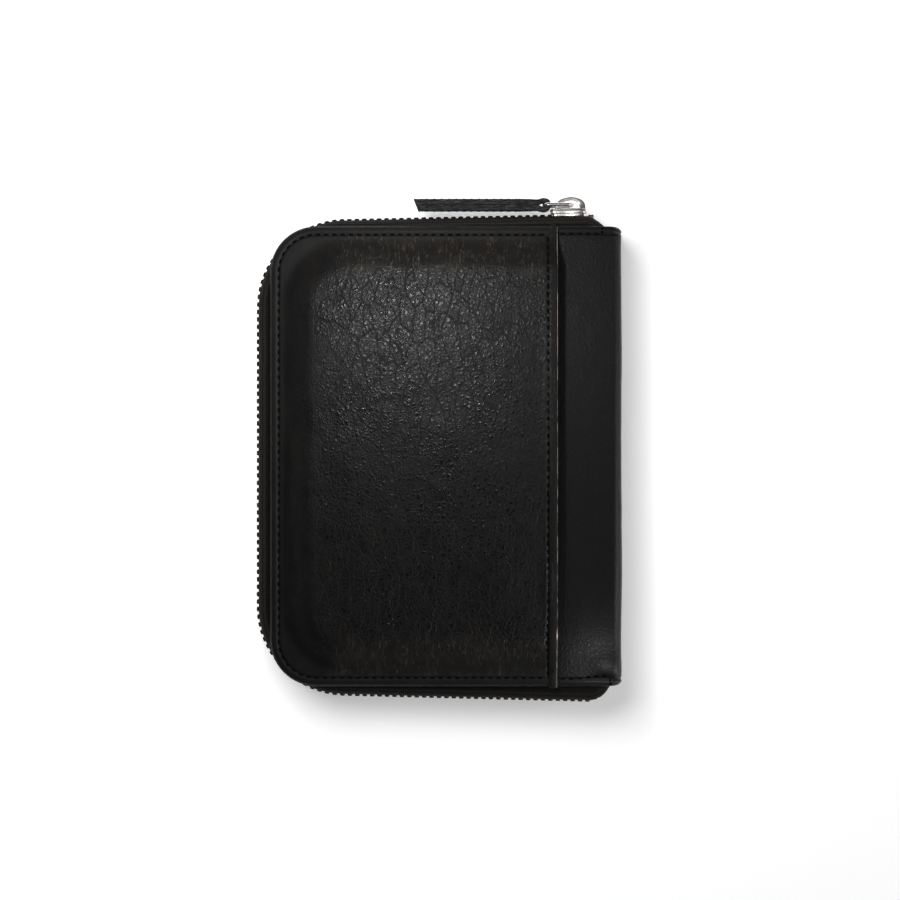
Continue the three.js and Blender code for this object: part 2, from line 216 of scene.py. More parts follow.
def loft_faces(rows, columns, caps=True):
    """Faces between the rings of a loft, which all have the same number of points."""
    faces = []
    for i in range(rows - 1):
        for j in range(columns):
            k = (j + 1) % columns
            faces.append([i * columns + j, i * columns + k, (i + 1) * columns + k, (i + 1) * columns + j])
    if caps:
        faces.append(list(range(columns - 1, -1, -1)))
        faces.append([(rows - 1) * columns + j for j in range(columns)])
    return faces


def unit_tangents(path):
    tangents = np.gradient(path, axis=0)
    return tangents / np.linalg.norm(tangents, axis=1)[:, None]


def ribbon(path, tangents, thickness, width, radius, steps):
    """Rings of a strip that bends in the x-y plane: its thickness across the path, its width along z."""
    rows = []
    for centre, ahead, thick, wide in zip(path, tangents, thickness, width):
        section = rounded_section(thick, wide, radius, steps)
        across = np.array([-ahead[1], ahead[0], 0.0])
        rows.append(centre + across * section[:, :1] + np.array([0, 0, 1.0]) * section[:, 1:])
    return rows


def smooth_path(points, per_span=8, closed=False):
    """A Catmull-Rom curve through points of any number of coordinates."""
    points = np.asarray(points, float)
    if closed:
        padded = np.vstack([points[-1], points, points[0], points[1]])
    else:
        padded = np.vstack([2 * points[0] - points[1], points, 2 * points[-1] - points[-2]])
    t = np.linspace(0, 1, per_span, endpoint=False)[:, None]
    spans = []
    for a, b, c, d in zip(padded, padded[1:], padded[2:], padded[3:]):
        cubic = 2 * b + (c - a) * t + (2 * a - 5 * b + 4 * c - d) * t**2 + (3 * b - a - 3 * c + d) * t**3
        spans.append(cubic / 2)
    curve = np.vstack(spans)
    return curve if closed else np.vstack([curve, points[-1]])


def slab(outline, low, high, bevel=0.3, steps=3):
    """A plate with rounded edges: its outline in the first two coordinates, its thickness in the third."""
    outline = np.asarray(outline, float)
    tangent = np.roll(outline, -1, axis=0) - np.roll(outline, 1, axis=0)
    inward = np.stack([-tangent[:, 1], tangent[:, 0]], 1)
    inward /= np.linalg.norm(inward, axis=1)[:, None]
    area = np.sum(outline[:, 0] * np.roll(outline[:, 1], -1) - np.roll(outline[:, 0], -1) * outline[:, 1])
    if area < 0:
        inward = -inward
    rows = []
    for i in range(steps + 1):
        angle = math.pi / 2 * i / steps
        ring = outline + inward * bevel * (1 - math.sin(angle))
        rows.append(np.column_stack([ring, np.full(len(ring), low + bevel * (1 - math.cos(angle)))]))
    for i in range(steps + 1):
        angle = math.pi / 2 * i / steps
        ring = outline + inward * bevel * (1 - math.cos(angle))
        rows.append(np.column_stack([ring, np.full(len(ring), high - bevel * (1 - math.sin(angle)))]))
    return np.vstack(rows), loft_faces(len(rows), len(outline))


def rounded_section(width, height, radius, steps=4):
    """Points of a rounded rectangle centred on the origin, anticlockwise."""
    points = []
    for corner, (sx, sy) in enumerate([(1, 1), (-1, 1), (-1, -1), (1, -1)]):
        centre = np.array([sx * (width / 2 - radius), sy * (height / 2 - radius)])
        for i in range(steps + 1):
            angle = math.pi / 2 * (corner + i / steps)
            points.append(centre + radius * np.array([math.cos(angle), math.sin(angle)]))
    return np.array(points)


# ---- Sheets with rolled edges ----

COUNTS = {"across": 200, "along": 240, "corner": 24}
EDGE_INSETS = [
    0, 0.04, 0.14, 0.3, 0.5, 0.8, 1.15, 1.5, 1.85, 2.1, 2.3, 2.45, 2.6, 2.75, 2.9, 3.1, 3.4, 3.9, 4.6,
]


def room(left, right, bottom, top, open_right):
    """How far a rectangle's outline can move in before its sides meet."""
    return min((right - left) / (1 if open_right else 2), (top - bottom) / 2)


def line(start, end, steps):
    """Points along a straight side, without its end."""
    t = np.linspace(0, 1, steps, endpoint=False)[:, None]
    return np.array(start) * (1 - t) + np.array(end) * t


def arc(cx, cy, radius, start, steps):
    """Points round a quarter circle from a starting angle, without its end."""
    angles = start + np.linspace(0, math.pi / 2, steps, endpoint=False)
    return np.stack([cx + radius * np.cos(angles), cy + radius * np.sin(angles)], 1)


def outline_ring(outline, inset, counts, open_right):
    """Anticlockwise points of a rounded rectangle, moved in from its edge.

    Open rings leave out the right side.
    """
    left, right, bottom, top, *radii = outline
    left, bottom, top = left + inset, bottom + inset, top - inset
    if not open_right:
        right -= inset
    half = room(left, right, bottom, top, open_right)
    near, far = (min(max(radius - inset, min(KEPT_RADIUS, radius)), half) for radius in radii)
    far = 0 if open_right else far
    across, along, corner = counts["across"], counts["along"], counts["corner"]
    pieces = [
        line((right - far, top), (left + near, top), across),
        arc(left + near, top - near, near, math.pi / 2, corner),
        line((left, top - near), (left, bottom + near), along),
        arc(left + near, bottom + near, near, math.pi, corner),
        line((left + near, bottom), (right - far, bottom), across),
    ]
    if open_right:
        return np.vstack([*pieces, [[right, bottom]]])
    pieces.append(arc(right - far, bottom + far, far, 1.5 * math.pi, corner))
    pieces.append(line((right, bottom + far), (right, top - far), along))
    pieces.append(arc(right - far, top - far, far, 0, corner))
    return np.vstack(pieces)


def ring_insets(outline, open_right, spacing):
    """Distances in from the outline: close together at the edge, then evenly spaced to the middle."""
    half = room(*outline[:4], open_right)
    start = EDGE_INSETS[-1]
    steps = max(2, int((half - start) / spacing))
    inner = list(np.linspace(start, half - 0.001, steps + 1)[1:])
    return [d for d in EDGE_INSETS if d < half] + inner


def edge_drop(inset, radius):
    """How far a rounded edge has fallen at a distance in from the outline."""
    t = np.clip(inset, 0, radius)
    return radius - np.sqrt(np.maximum(radius**2 - (radius - t) ** 2, 0))


def sheet(
    name, outline, top, bottom, material,
    place=None, open_right=False, counts=COUNTS, spacing=1.2, floats=None,
):
    """A sheet of leather or cloth over a rounded rectangle.

    top and bottom give the two surfaces' heights from arrays of x, y and the inset from the outline.
    place turns arrays of x, y and height into points. floats names further numbers, worked out like heights.
    """
    insets = ring_insets(outline, open_right, spacing)
    rings = [outline_ring(outline, inset, counts, open_right) for inset in insets]
    columns = len(rings[0])
    coarse = [k for k in range(len(insets)) if k < 5 or k % 3 == 0 or k == len(insets) - 1]
    layers = []
    for chosen, surface in ((range(len(insets)), top), (coarse, bottom)):
        x, y = np.vstack([rings[k] for k in chosen]).T
        inset = np.repeat([insets[k] for k in chosen], columns)
        layers.append((x, y, inset, surface(x, y, inset)))
    x, y, inset, height = (np.concatenate(values) for values in zip(*layers))
    points = np.stack([x, y, height], 1) if place is None else place(x, y, height)
    named = {key: rule(x, y, inset) for key, rule in (floats or {}).items()}
    faces = sheet_faces(len(insets), coarse, columns, open_right)
    return weld(make_object(name, points, faces, material, named))


def sheet_faces(rows, coarse, columns, open_right):
    """Faces of a sheet's top, its bottom and its edge. coarse lists the rings that the bottom keeps."""
    under = rows * columns
    strips = [(row * columns, (row + 1) * columns, False) for row in range(rows - 1)]
    strips += [(under + row * columns, under + (row + 1) * columns, True) for row in range(len(coarse) - 1)]
    strips.append((0, under, True))
    faces = []
    for first, second, flip in strips:
        for j in range(columns - 1 if open_right else columns):
            k = (j + 1) % columns
            quad = [first + j, first + k, second + k, second + j]
            faces.append(quad[::-1] if flip else quad)
    if open_right:
        close_cut(faces, coarse, columns, under)
    return faces


def close_cut(faces, coarse, columns, under):
    """Closes an open-right sheet along its cut edge, between the top and the bottom surface."""
    for end in (0, columns - 1):
        for a, b in zip(range(len(coarse) - 1), range(1, len(coarse))):
            upper = [k * columns + end for k in range(coarse[a], coarse[b] + 1)]
            lower = [under + b * columns + end, under + a * columns + end]
            face = upper + lower
            faces.append(face if end == 0 else face[::-1])


# ---- Surfaces of the organizer ----


def seam_relief(inset, groove=0.26, pad=0.15):
    """A padded band along an edge, and the groove that its stitching pulls in."""
    return pad * bell(inset - 1.4, 0.55) - groove * bell(inset - SEAM, 0.38)


def plateau_depth(x, y):
    """Distance in from the middle of the slope round the raised part, which runs on past the mouth."""
    across = LEFT + SLOPE_MIDDLE + PLATEAU_CORNER - x
    along = np.abs(y) - (TOP - SLOPE_MIDDLE - PLATEAU_CORNER)
    beyond = np.hypot(np.maximum(across, 0), np.maximum(along, 0)) + np.minimum(np.maximum(across, along), 0)
    return PLATEAU_CORNER - beyond


def pocket_bulge(x, y):
    """0 on the flange round the formed pocket, 1 where the leather lies over the booklet."""
    depth = plateau_depth(x, y)
    wander = 0.9 * plane_noise(x, y, 13, 13, 2) * smoothstep(-5, 0, depth)
    return smoothstep(-SLOPE_HALF, SLOPE_HALF, depth + wander)


def pocket_relief(x, y, inset):
    """Creases, folds and waves of the pocket's leather, in millimetres."""
    bulge = pocket_bulge(x, y)
    slope = smoothstep(0.02, 0.3, bulge) * (1 - smoothstep(0.75, 1.0, bulge))
    clear = smoothstep(SEAM + 0.3, SEAM + 2.5, inset)
    waves = 0.3 * plane_noise(x, y, 17, 21, 3) + 0.1 * plane_noise(x + 0.5 * y, y - 0.4 * x, 7, 9, 4)
    turned_x, turned_y = 0.8 * x + 0.6 * y, 0.8 * y - 0.6 * x
    folds = 0.07 * ridges(turned_x, turned_y, 9, 4.5, 5) + 0.05 * ridges(x, y, 4, 5.5, 6)
    end_creases = 0.05 * ridges(x + 1.2 * plane_noise(x, y, 8, 8, 8), y, 1.7, 13, 7, 2.5)
    mouth = bell(x - (MOUTH - 5.6), 2.6) * smoothstep(TOP - 12, TOP - 24, np.abs(y))
    mouth_creases = 0.06 * ridges(x, y, 9, 1.5, 9, 2.5)
    dimple = 0.3 * bell(x + 2, 5) * bell(y + 5, 4)
    ends = slope * streak_share(x, y, inset)
    relief = bulge * waves - bulge * (1 - slope) * folds - ends * end_creases - mouth * mouth_creases
    return clear * (relief - dimple)


def pocket_top(x, y, inset):
    crown = POCKET_CROWN * (1 - ((x + 6) / 55) ** 2) * (1 - (y / 75) ** 2)
    bulge = pocket_bulge(x, y)
    height = THICKNESS + LEATHER + (POCKET_RISE - POCKET_CROWN + crown) * bulge
    return height + pocket_relief(x, y, inset) + seam_relief(inset) - edge_drop(inset, EDGE_ROUND)


def pocket_bottom(x, y, inset):
    return THICKNESS + 0.02 + (POCKET_RISE - POCKET_CROWN) * pocket_bulge(x, y)


def grain_strength(x, y, inset):
    """How strongly the pebbles stand out: fully on the raised middle, hardly at the stretched slopes."""
    patchy = 0.85 + 0.25 * plane_noise(x, y, 16, 16, 12)
    wander = 1.8 * plane_noise(x, y, 11, 11, 13) + 0.9 * plane_noise(x, y, 3.5, 3.5, 14)
    return np.clip(0.14 + 0.86 * smoothstep(-3.5, 10.0, plateau_depth(x, y) + wander) * patchy, 0, 1)


def streak_share(x, y, inset):
    """Where the leather is stretched over the booklet's ends and shows pale lines across the edge."""
    ends = smoothstep(TOP - 19, TOP - 13, np.abs(y)) * smoothstep(2.6, 3.6, inset)
    return ends * smoothstep(LEFT + 15, LEFT + 30, x + 3 * plane_noise(x, y, 6, 6, 15))


def spine_bow(y):
    """How far the spine's corner stands back from its widest place."""
    corner = 2.4
    beyond = np.clip(np.abs(y) - (TOP - corner), 0, corner)
    return 0.25 * smoothstep(30, 77, np.abs(y)) + corner - np.sqrt(corner**2 - beyond**2)


def wrap_front(x, y, height):
    """Bends a flat sheet over the front cover's top and down the spine. height is outward from it."""
    angle = np.clip((x - SPINE_FLAT) / SPINE_ROUND, 0, math.pi / 2)
    down = np.maximum(x - SPINE_FLAT - ARC, 0)
    centre_x = np.minimum(x, SPINE_FLAT)
    centre_z = THICKNESS - SPINE_ROUND - down
    reach = SPINE_ROUND + height
    px = centre_x + reach * np.sin(angle)
    pz = centre_z + reach * np.cos(angle)
    pz = np.where(x < SPINE_FLAT, THICKNESS + height, pz)
    px = px - spine_bow(y) * smoothstep(SPINE_FLAT - 5, SPINE_FACE - 0.5, px)
    return np.stack([px, y, pz], 1)


def mirror_down(points):
    """The same points on the other cover."""
    return points * [1, 1, -1] + [0, 0, THICKNESS]


# ---- Materials ----


def plug(value, socket):
    """Feeds a socket from a field, or sets it to a plain value."""
    if isinstance(value, Field):
        value.tree.links.new(value.socket, socket)
    else:
        socket.default_value = value


class Field:
    """A number or colour that varies over a surface. Sums, differences and products are Math nodes."""

    def __init__(self, tree, socket):
        self.tree = tree
        self.socket = socket

    def apply(self, kind, operation, other=None, key=1, output=0):
        made = self.tree.nodes.new(kind)
        made.operation = operation
        plug(self, made.inputs[0])
        if other is not None:
            plug(other, made.inputs[key])
        return Field(self.tree, made.outputs[output])

    def __add__(self, other):
        return self.apply("ShaderNodeMath", "ADD", other)

    def __sub__(self, other):
        return self.apply("ShaderNodeMath", "SUBTRACT", other)

    def __mul__(self, other):
        return self.apply("ShaderNodeMath", "MULTIPLY", other)

    def __abs__(self):
        return self.apply("ShaderNodeMath", "ABSOLUTE")

    def ramp(self, low, high, low_to=0.0, high_to=1.0):
        """Goes smoothly from low_to to high_to as this field goes from low to high."""
        made = self.tree.nodes.new("ShaderNodeMapRange")
        made.interpolation_type = "SMOOTHSTEP"
        plug(self, made.inputs["Value"])
        for key, number in (("From Min", low), ("From Max", high), ("To Min", low_to), ("To Max", high_to)):
            made.inputs[key].default_value = number
        return Field(self.tree, made.outputs["Result"])

    def mix(self, first, second):
        """The first colour where this field is 0, and the second where it is 1."""
        made = self.tree.nodes.new("ShaderNodeMix")
        made.data_type = "RGBA"
        plug(self, made.inputs[0])
        for index, colour in ((6, first), (7, second)):
            plug(colour if isinstance(colour, Field) else (*colour, 1), made.inputs[index])
        return Field(self.tree, made.outputs[2])


class Surface:
    """A node material, with the shader's own values given by name. Textures are sized in millimetres."""

    def __init__(self, name, **values):
        self.material = bpy.data.materials.new(name)
        self.material.use_nodes = True
        self.tree = self.material.node_tree
        self.shader = self.tree.nodes["Principled BSDF"]
        for key, value in values.items():
            self.shader.inputs[key.replace("_", " ")].default_value = value
        self.place = Field(self.tree, self.tree.nodes.new("ShaderNodeTexCoord").outputs["Object"])

    def texture(self, kind, output, place=None, **values):
        """A texture or mapping node, read at the coordinates given."""
        made = self.tree.nodes.new(kind)
        for key, value in values.items():
            if hasattr(made, key):
                setattr(made, key, value)
            else:
                made.inputs[key].default_value = value
        plug(place or self.place, made.inputs["Vector"])
        return Field(self.tree, made.outputs[output])

    def noise(self, cell, detail=2.0, roughness=0.5, place=None, output="Fac"):
        """Noise with features about a cell apart."""
        values = {"Scale": 1 / (cell * MM), "Detail": detail, "Roughness": roughness}
        return self.texture("ShaderNodeTexNoise", output, place, **values)

    def warped(self, cell, amount):
        """Coordinates pushed about by noise, so that a regular pattern looks grown."""
        push = self.noise(cell, output="Color").apply("ShaderNodeVectorMath", "SUBTRACT", (0.5, 0.5, 0.5))
        push = push.apply("ShaderNodeVectorMath", "SCALE", amount * MM, "Scale")
        return self.place.apply("ShaderNodeVectorMath", "ADD", push)

    def cells(self, cell, place):
        """Distance from the edges between scattered cells."""
        values = {"feature": "DISTANCE_TO_EDGE", "Scale": 1 / (cell * MM)}
        return self.texture("ShaderNodeTexVoronoi", "Distance", place, **values)

    def wave(self, direction, scale, place=None):
        return self.texture("ShaderNodeTexWave", "Fac", place, bands_direction=direction, Scale=scale)

    def attribute(self, name):
        made = self.tree.nodes.new("ShaderNodeAttribute")
        made.attribute_name = name
        return Field(self.tree, made.outputs["Fac"])

    def feed(self, key, field):
        plug(field, self.shader.inputs[key])

    def bump(self, height, distance):
        made = self.tree.nodes.new("ShaderNodeBump")
        made.inputs["Strength"].default_value = 1.0
        made.inputs["Distance"].default_value = distance * MM
        plug(height, made.inputs["Height"])
        self.tree.links.new(made.outputs["Normal"], self.shader.inputs["Normal"])


BLACK = (0.0032, 0.003, 0.003)
BROWN = (0.0078, 0.0064, 0.0054)
# Painted shade: the colour that the grooves between the pebbles are darkened to.
PAINTED_GROOVE_SHADE = (0.0012, 0.0011, 0.0011)
# Painted highlight: the pale colour of glints on the pebbles' tops.
PAINTED_GLINT = (0.0135, 0.013, 0.0125)
PALE_LINE = (0.04, 0.03, 0.023)
STRETCHED_ROUGHNESS = 0.66  # of the leather on the slopes round the pocket


def streak_lines(surface, streaks):
    """Short pale lines along Y, where streaks lets them through."""
    bent = surface.warped(5, 2.2)
    drawn_out = surface.texture("ShaderNodeMapping", "Vector", bent, Scale=(1.0, 0.09, 0.09))
    off_line = abs(surface.noise(0.75, 1.0, place=drawn_out) - 0.5)
    broken = surface.noise(4, 2.0).ramp(0.36, 0.52)
    return off_line.ramp(0.004, 0.024, 1.0, 0.0) * broken * streaks


def pebble_height(surface, crease):
    """Rounded pebbles of two sizes between narrow grooves, crossed by a few longer creases."""
    large = surface.cells(1.5, surface.warped(2.8, 1.2)).ramp(0.0, 0.42)
    small = surface.cells(0.85, surface.warped(1.6, 0.5)).ramp(0.0, 0.3)
    values = {"Rotation": (0.0, 0.0, -0.6), "Scale": (1.0, 0.4, 1.0)}
    leaning = surface.texture("ShaderNodeMapping", "Vector", surface.warped(7, 4.0), **values)
    folds = surface.cells(4, leaning).ramp(0.0, 0.07)
    return large * 0.55 + small * 0.25 + folds * crease


def leather_material(name, base, marked=False, roughness=(0.22, 0.72), relief=0.145, crease=0.42):
    """Pebbled leather. Marked leather follows the grain and streaks numbers of its mesh's vertices."""
    surface = Surface(name, Specular_IOR_Level=0.42)
    pebbles = pebble_height(surface, crease)
    fine = surface.noise(0.34, 3.0, 0.6)
    raised = pebbles
    # Painted shade: where the grooves between the pebbles are darkened.
    grooves = pebbles.ramp(0.2, 0.75, 1.0, 0.0) * 0.6
    gloss = (fine * 0.4 - pebbles).ramp(-0.85, 0.0, *roughness)
    if marked:
        grain = surface.attribute("grain")
        raised = pebbles * grain
        grooves = grooves * grain
        gloss = (gloss - STRETCHED_ROUGHNESS) * grain + STRETCHED_ROUGHNESS
    height = raised + fine * 0.2
    colour = grooves.mix((surface.noise(9, 3.0).ramp(0.35, 0.7) * 0.35).mix(base, BROWN), PAINTED_GROOVE_SHADE)
    if marked:
        # Painted highlight: pale specks on the highest pebbles stand in for glints.
        glint_specks = surface.noise(0.7, 2.0).ramp(0.46, 0.62)
        colour = (pebbles.ramp(0.75, 1.1) * glint_specks * grain).mix(colour, PAINTED_GLINT)
        streaks = surface.attribute("streaks")
        lines = streak_lines(surface, streaks)
        colour = lines.mix((streaks * 0.3).mix(colour, BROWN), PALE_LINE)
        height = height + lines * 0.15
    surface.bump(height, relief)
    surface.feed("Base Color", colour)
    surface.feed("Roughness", gloss)
    return surface.material


def thread_material():
    surface = Surface("thread", Roughness=0.9, Specular_IOR_Level=0.12)
    twist = surface.wave("DIAGONAL", 1 / (0.5 * MM))
    surface.feed("Base Color", twist.mix((0.0008, 0.0008, 0.0008), (0.003, 0.0029, 0.0028)))
    surface.bump(twist, 0.06)
    return surface.material


def woven_material(name, dark, light, thread, relief):
    """Crossed sets of threads, for the zip's tape and the linings."""
    surface = Surface(name, Roughness=0.9, Specular_IOR_Level=0.2)
    bent = surface.warped(1.5, 0.12)
    waves = [surface.wave(direction, 0.32 / (thread * MM), bent) for direction in ("X", "Y", "Z")]
    height = (waves[0] + waves[1] + waves[2]) * 0.33
    mixed = height * 0.7 + surface.noise(0.3, 3.0) * 0.3
    surface.feed("Base Color", mixed.ramp(0.36, 0.66).mix(dark, light))
    surface.bump(mixed, relief)
    return surface.material


def nickel_material():
    surface = Surface("nickel", Metallic=1.0)
    smudge_and_rosy_reflection = surface.noise(2.2, 3.0)
    # Painted reflection: rosy patches in the metal's colour; the same noise also varies its roughness like
    # smudges.
    surface.feed("Base Color", smudge_and_rosy_reflection.ramp(0.4, 0.62).mix((0.97, 0.96, 0.95), (0.9, 0.82, 0.77)))
    surface.feed("Roughness", smudge_and_rosy_reflection.ramp(0.3, 0.7, 0.26, 0.38))
    surface.bump(surface.noise(0.25, 2.0), 0.01)
    return surface.material


def nylon_material():
    surface = Surface("moulded_nylon")
    patch = surface.noise(1.2, 2.0)
    surface.feed("Base Color", patch.mix((0.003, 0.003, 0.003), (0.012, 0.011, 0.01)))
    surface.feed("Roughness", patch.ramp(0.3, 0.7, 0.28, 0.5))
    surface.bump(surface.noise(0.2, 2.0), 0.02)
    return surface.material


def raw_edge_material():
    """The cut edge of a leather strap: fibres in layers along its length."""
    surface = Surface("raw_leather_edge", Roughness=0.8)
    along = surface.texture("ShaderNodeMapping", "Vector", Scale=(0.14, 1.0, 0.5))
    mixed = surface.noise(0.3, 2.0, place=along) * 0.6 + surface.noise(0.35, 3.0) * 0.4
    surface.feed("Base Color", mixed.ramp(0.46, 0.64).mix((0.004, 0.0042, 0.0045), (0.04, 0.041, 0.043)))
    surface.bump(mixed, 0.3)
    return surface.material


def pale_strip_material():
    """A pale cream colour with darker brown patches, for the thin strip along the pocket's mouth."""
    surface = Surface("pale_strip", Roughness=0.75)
    fibres = surface.noise(0.5, 3.0)
    colour = fibres.mix((0.55, 0.45, 0.36), (0.75, 0.66, 0.56))
    surface.feed("Base Color", surface.noise(4, 2.0).ramp(0.42, 0.6).mix((0.12, 0.09, 0.07), colour))
    surface.bump(fibres, 0.05)
    return surface.material


def board_material():
    surface = Surface("bookbinding_board", Roughness=0.95)
    fibres = surface.noise(0.8, 4.0)
    surface.feed("Base Color", fibres.mix((0.26, 0.22, 0.17), (0.42, 0.37, 0.3)))
    surface.bump(fibres, 0.05)
    return surface.material


SMOOTH = {"relief": 0.03, "crease": 0.0}
COVER_BASE = (0.0062, 0.0059, 0.0057)
INNER_BASE = (0.011, 0.0106, 0.0102)

POCKET_LEATHER = leather_material("pocket_leather", BLACK, marked=True)
COVER_LEATHER = leather_material("cover_leather", COVER_BASE, relief=0.075, crease=0.0, roughness=(0.3, 0.5))
INNER_LEATHER = leather_material("inner_leather", INNER_BASE, roughness=(0.42, 0.6), **SMOOTH)
STRAP_LEATHER = leather_material("strap_leather", (0.006, 0.0062, 0.0066), **SMOOTH)
EDGE_LEATHER = leather_material("edge_leather", BLACK, **SMOOTH)
RAW_EDGE = raw_edge_material()
PALE_STRIP_COLOUR = pale_strip_material()
THREAD = thread_material()
TAPE_CLOTH = woven_material("zip_tape_cloth", (0.0025, 0.0023, 0.0021), (0.02, 0.0175, 0.015), 0.7, 0.16)
LINING_CLOTH = woven_material("lining_cloth", (0.012, 0.011, 0.0105), (0.035, 0.032, 0.03), 0.4, 0.06)
NICKEL = nickel_material()
NYLON = nylon_material()
BOARD = board_material()


def finish(piece, body, slot, *nodes):
    """Rides a piece on its body and hides the CAD nodes that it stands for. slot is not used."""
    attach(piece, body)
    if nodes:
        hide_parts(*nodes)
    return piece


# ---- Outer leather ----

COVER_OUTLINE = (LEFT, SPINE_FLAT + ARC + MIDDLE - SPINE_ROUND, -TOP, TOP, COVER_CORNER, 0)
POCKET_OUTLINE = (LEFT + 0.4, MOUTH - 0.6, -TOP + 0.4, TOP - 0.4, COVER_CORNER - 0.4, 0.8)
SHELL_COUNTS = {"across": 190, "along": 150, "corner": 20}


def shell_height(x, y, inset):
    broad = 0.14 * plane_noise(x, y, 15, 19, 21) + 0.05 * plane_noise(x, y, 5, 6, 22)
    calm = smoothstep(SEAM, SEAM + 4, inset)
    wrinkled = bell(x - MOUTH - 5, 4) * smoothstep(TOP - 22, TOP - 12, np.abs(y))
    wrinkles = 0.07 * wrinkled * ridges(x, y, 8, 1.3, 23, 2.5)
    return seam_relief(inset) - edge_drop(inset, EDGE_ROUND) + (broad - 0.14 - wrinkles) * calm

def front_height(x, y, inset):
    """The front cover's leather also puffs up beside the end of the stitching near the spine."""
    puff = bell(x - PUFF_X, 5) * bell(y + TOP - PUFF_FROM_END, 3.6)
    return shell_height(x, y, inset) + PUFF_RISE * puff * smoothstep(SEAM, SEAM + 2, inset)


def back_height(x, y, inset):
    """The back cover's leather stays above the table."""
    return shell_height(x, y, inset) - TABLE_GAP


def shell_under(x, y, inset):
    return np.full_like(x, 0.05 - LEATHER)


def wrap_back(x, y, height):
    return mirror_down(wrap_front(x, y, height))


def shell(name, heights, place):
    return sheet(name, COVER_OUTLINE, heights, shell_under, COVER_LEATHER, place, True, SHELL_COUNTS, 1.6)


def make_front_shell():
    """The front cover's leather, over the spine's edge and down to the middle of the spine."""
    leather = shell("front_leather", front_height, wrap_front)
    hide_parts("front_cover_leather", "spine_leather")
    fold = joint_place("cover_fold")
    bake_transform(leather)


def make_back_shell():
    """The back cover's leather, to the middle of the spine."""
    leather = shell("back_leather", back_height, wrap_back)
    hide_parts("back_cover_leather")
    fold = joint_place("spine_fold")
    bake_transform(leather)


def make_pocket():
    floats = {"grain": grain_strength, "streaks": streak_share}
    panel = sheet("outer_pocket", POCKET_OUTLINE, pocket_top, pocket_bottom, POCKET_LEATHER, floats=floats)
    finish(panel, "front_cover", "leather", "outer_pocket_panel")


def mouth_seat(y):
    """Height of the pocket's leather beside its mouth."""
    x = np.full_like(y, MOUTH - 1.5)
    return pocket_top(x, np.clip(y, -TOP + 1, TOP - 1), np.full_like(y, 9.0))


ROUND_END = 1.2  # length over which the folded strip draws in


def mouth_strip(section, y):
    """Carries a section of (across, height) pairs along the mouth, drawn in at both ends."""
    reach = np.abs(y).max()
    near_end = np.clip((reach - np.abs(y)) / ROUND_END, 0, 1)
    narrowing = np.sqrt(np.maximum(1 - (1 - near_end) ** 2, 0.02))
    centre = MOUTH - 1.35 + 0.05 * plane_noise(y, y * 0, 11, 1, 31)
    seat = mouth_seat(y)
    points = []
    for i in range(len(y)):
        for across, h in section:
            drawn = across * (0.45 + 0.55 * narrowing[i])
            points.append((centre[i] + drawn, y[i], seat[i] + h * (0.5 + 0.5 * narrowing[i])))
    return points


def make_pocket_binding():
    """The strip folded over the pocket's mouth, and a thin pale strip beside it, wider towards the bottom."""
    reach = TOP + 0.6
    foot, head = -reach + ROUND_END, reach - ROUND_END
    ends = np.linspace(-reach, foot, 9)[:-1], np.linspace(head, reach, 9)[1:]
    y = np.concatenate([ends[0], np.linspace(foot, head, 220), ends[1]])
    outer = [(-1.5, -0.12), (-1.45, 0.06), (-1.2, 0.16), (-0.4, 0.2), (0.7, 0.22), (1.05, 0.14), (1.2, -0.06)]
    under = [(1.25, -0.5), (1.22, -1.05), (1.0, -1.4), (0.6, -1.52), (-0.5, -1.52), (-0.62, -1.42)]
    inner = [(-0.5, -1.25), (0.5, -1.2), (0.6, -0.3)]
    section = outer + under + inner
    faces = loft_faces(len(y), len(section))
    band = make_object("pocket_binding", mouth_strip(section, y), faces, EDGE_LEATHER)
    finish(weld(band), "front_cover", "leather", "outer_pocket_binding")
    y = np.linspace(-TOP - 0.4, TOP - 0.3, 200)
    wide = 0.03 + 0.36 * smoothstep(-TOP + 22, -TOP + 12, y)
    rows = []
    for at, seat, half in zip(y, mouth_seat(y), wide):
        for across, h in rounded_section(2 * half, 0.5, 0.08, 2):
            rows.append((MOUTH - 0.02 + across - half + 0.1, at, seat - 0.2 + h))
    pale_strip_piece = weld(make_object("pocket_mouth_edge", rows, loft_faces(len(y), 12), PALE_STRIP_COLOUR))
    finish(pale_strip_piece, "front_cover", "leather")


# ---- Stitching ----


def resample(points, pitch, ends=0.0):
    """Points a pitch apart along a path, with the directions there."""
    points = np.asarray(points, float)
    steps = np.linalg.norm(np.diff(points, axis=0), axis=1)
    run = np.concatenate([[0], np.cumsum(steps)])
    count = max(2, int((run[-1] - 2 * ends) / pitch))
    at = np.linspace(ends + pitch / 2, run[-1] - ends - pitch / 2, count)
    place = np.stack([np.interp(at, run, points[:, axis]) for axis in range(3)], 1)
    ahead = np.stack([np.interp(at + 0.3, run, points[:, axis]) for axis in range(3)], 1)
    behind = np.stack([np.interp(at - 0.3, run, points[:, axis]) for axis in range(3)], 1)
    direction = ahead - behind
    return place, direction / np.linalg.norm(direction, axis=1)[:, None]


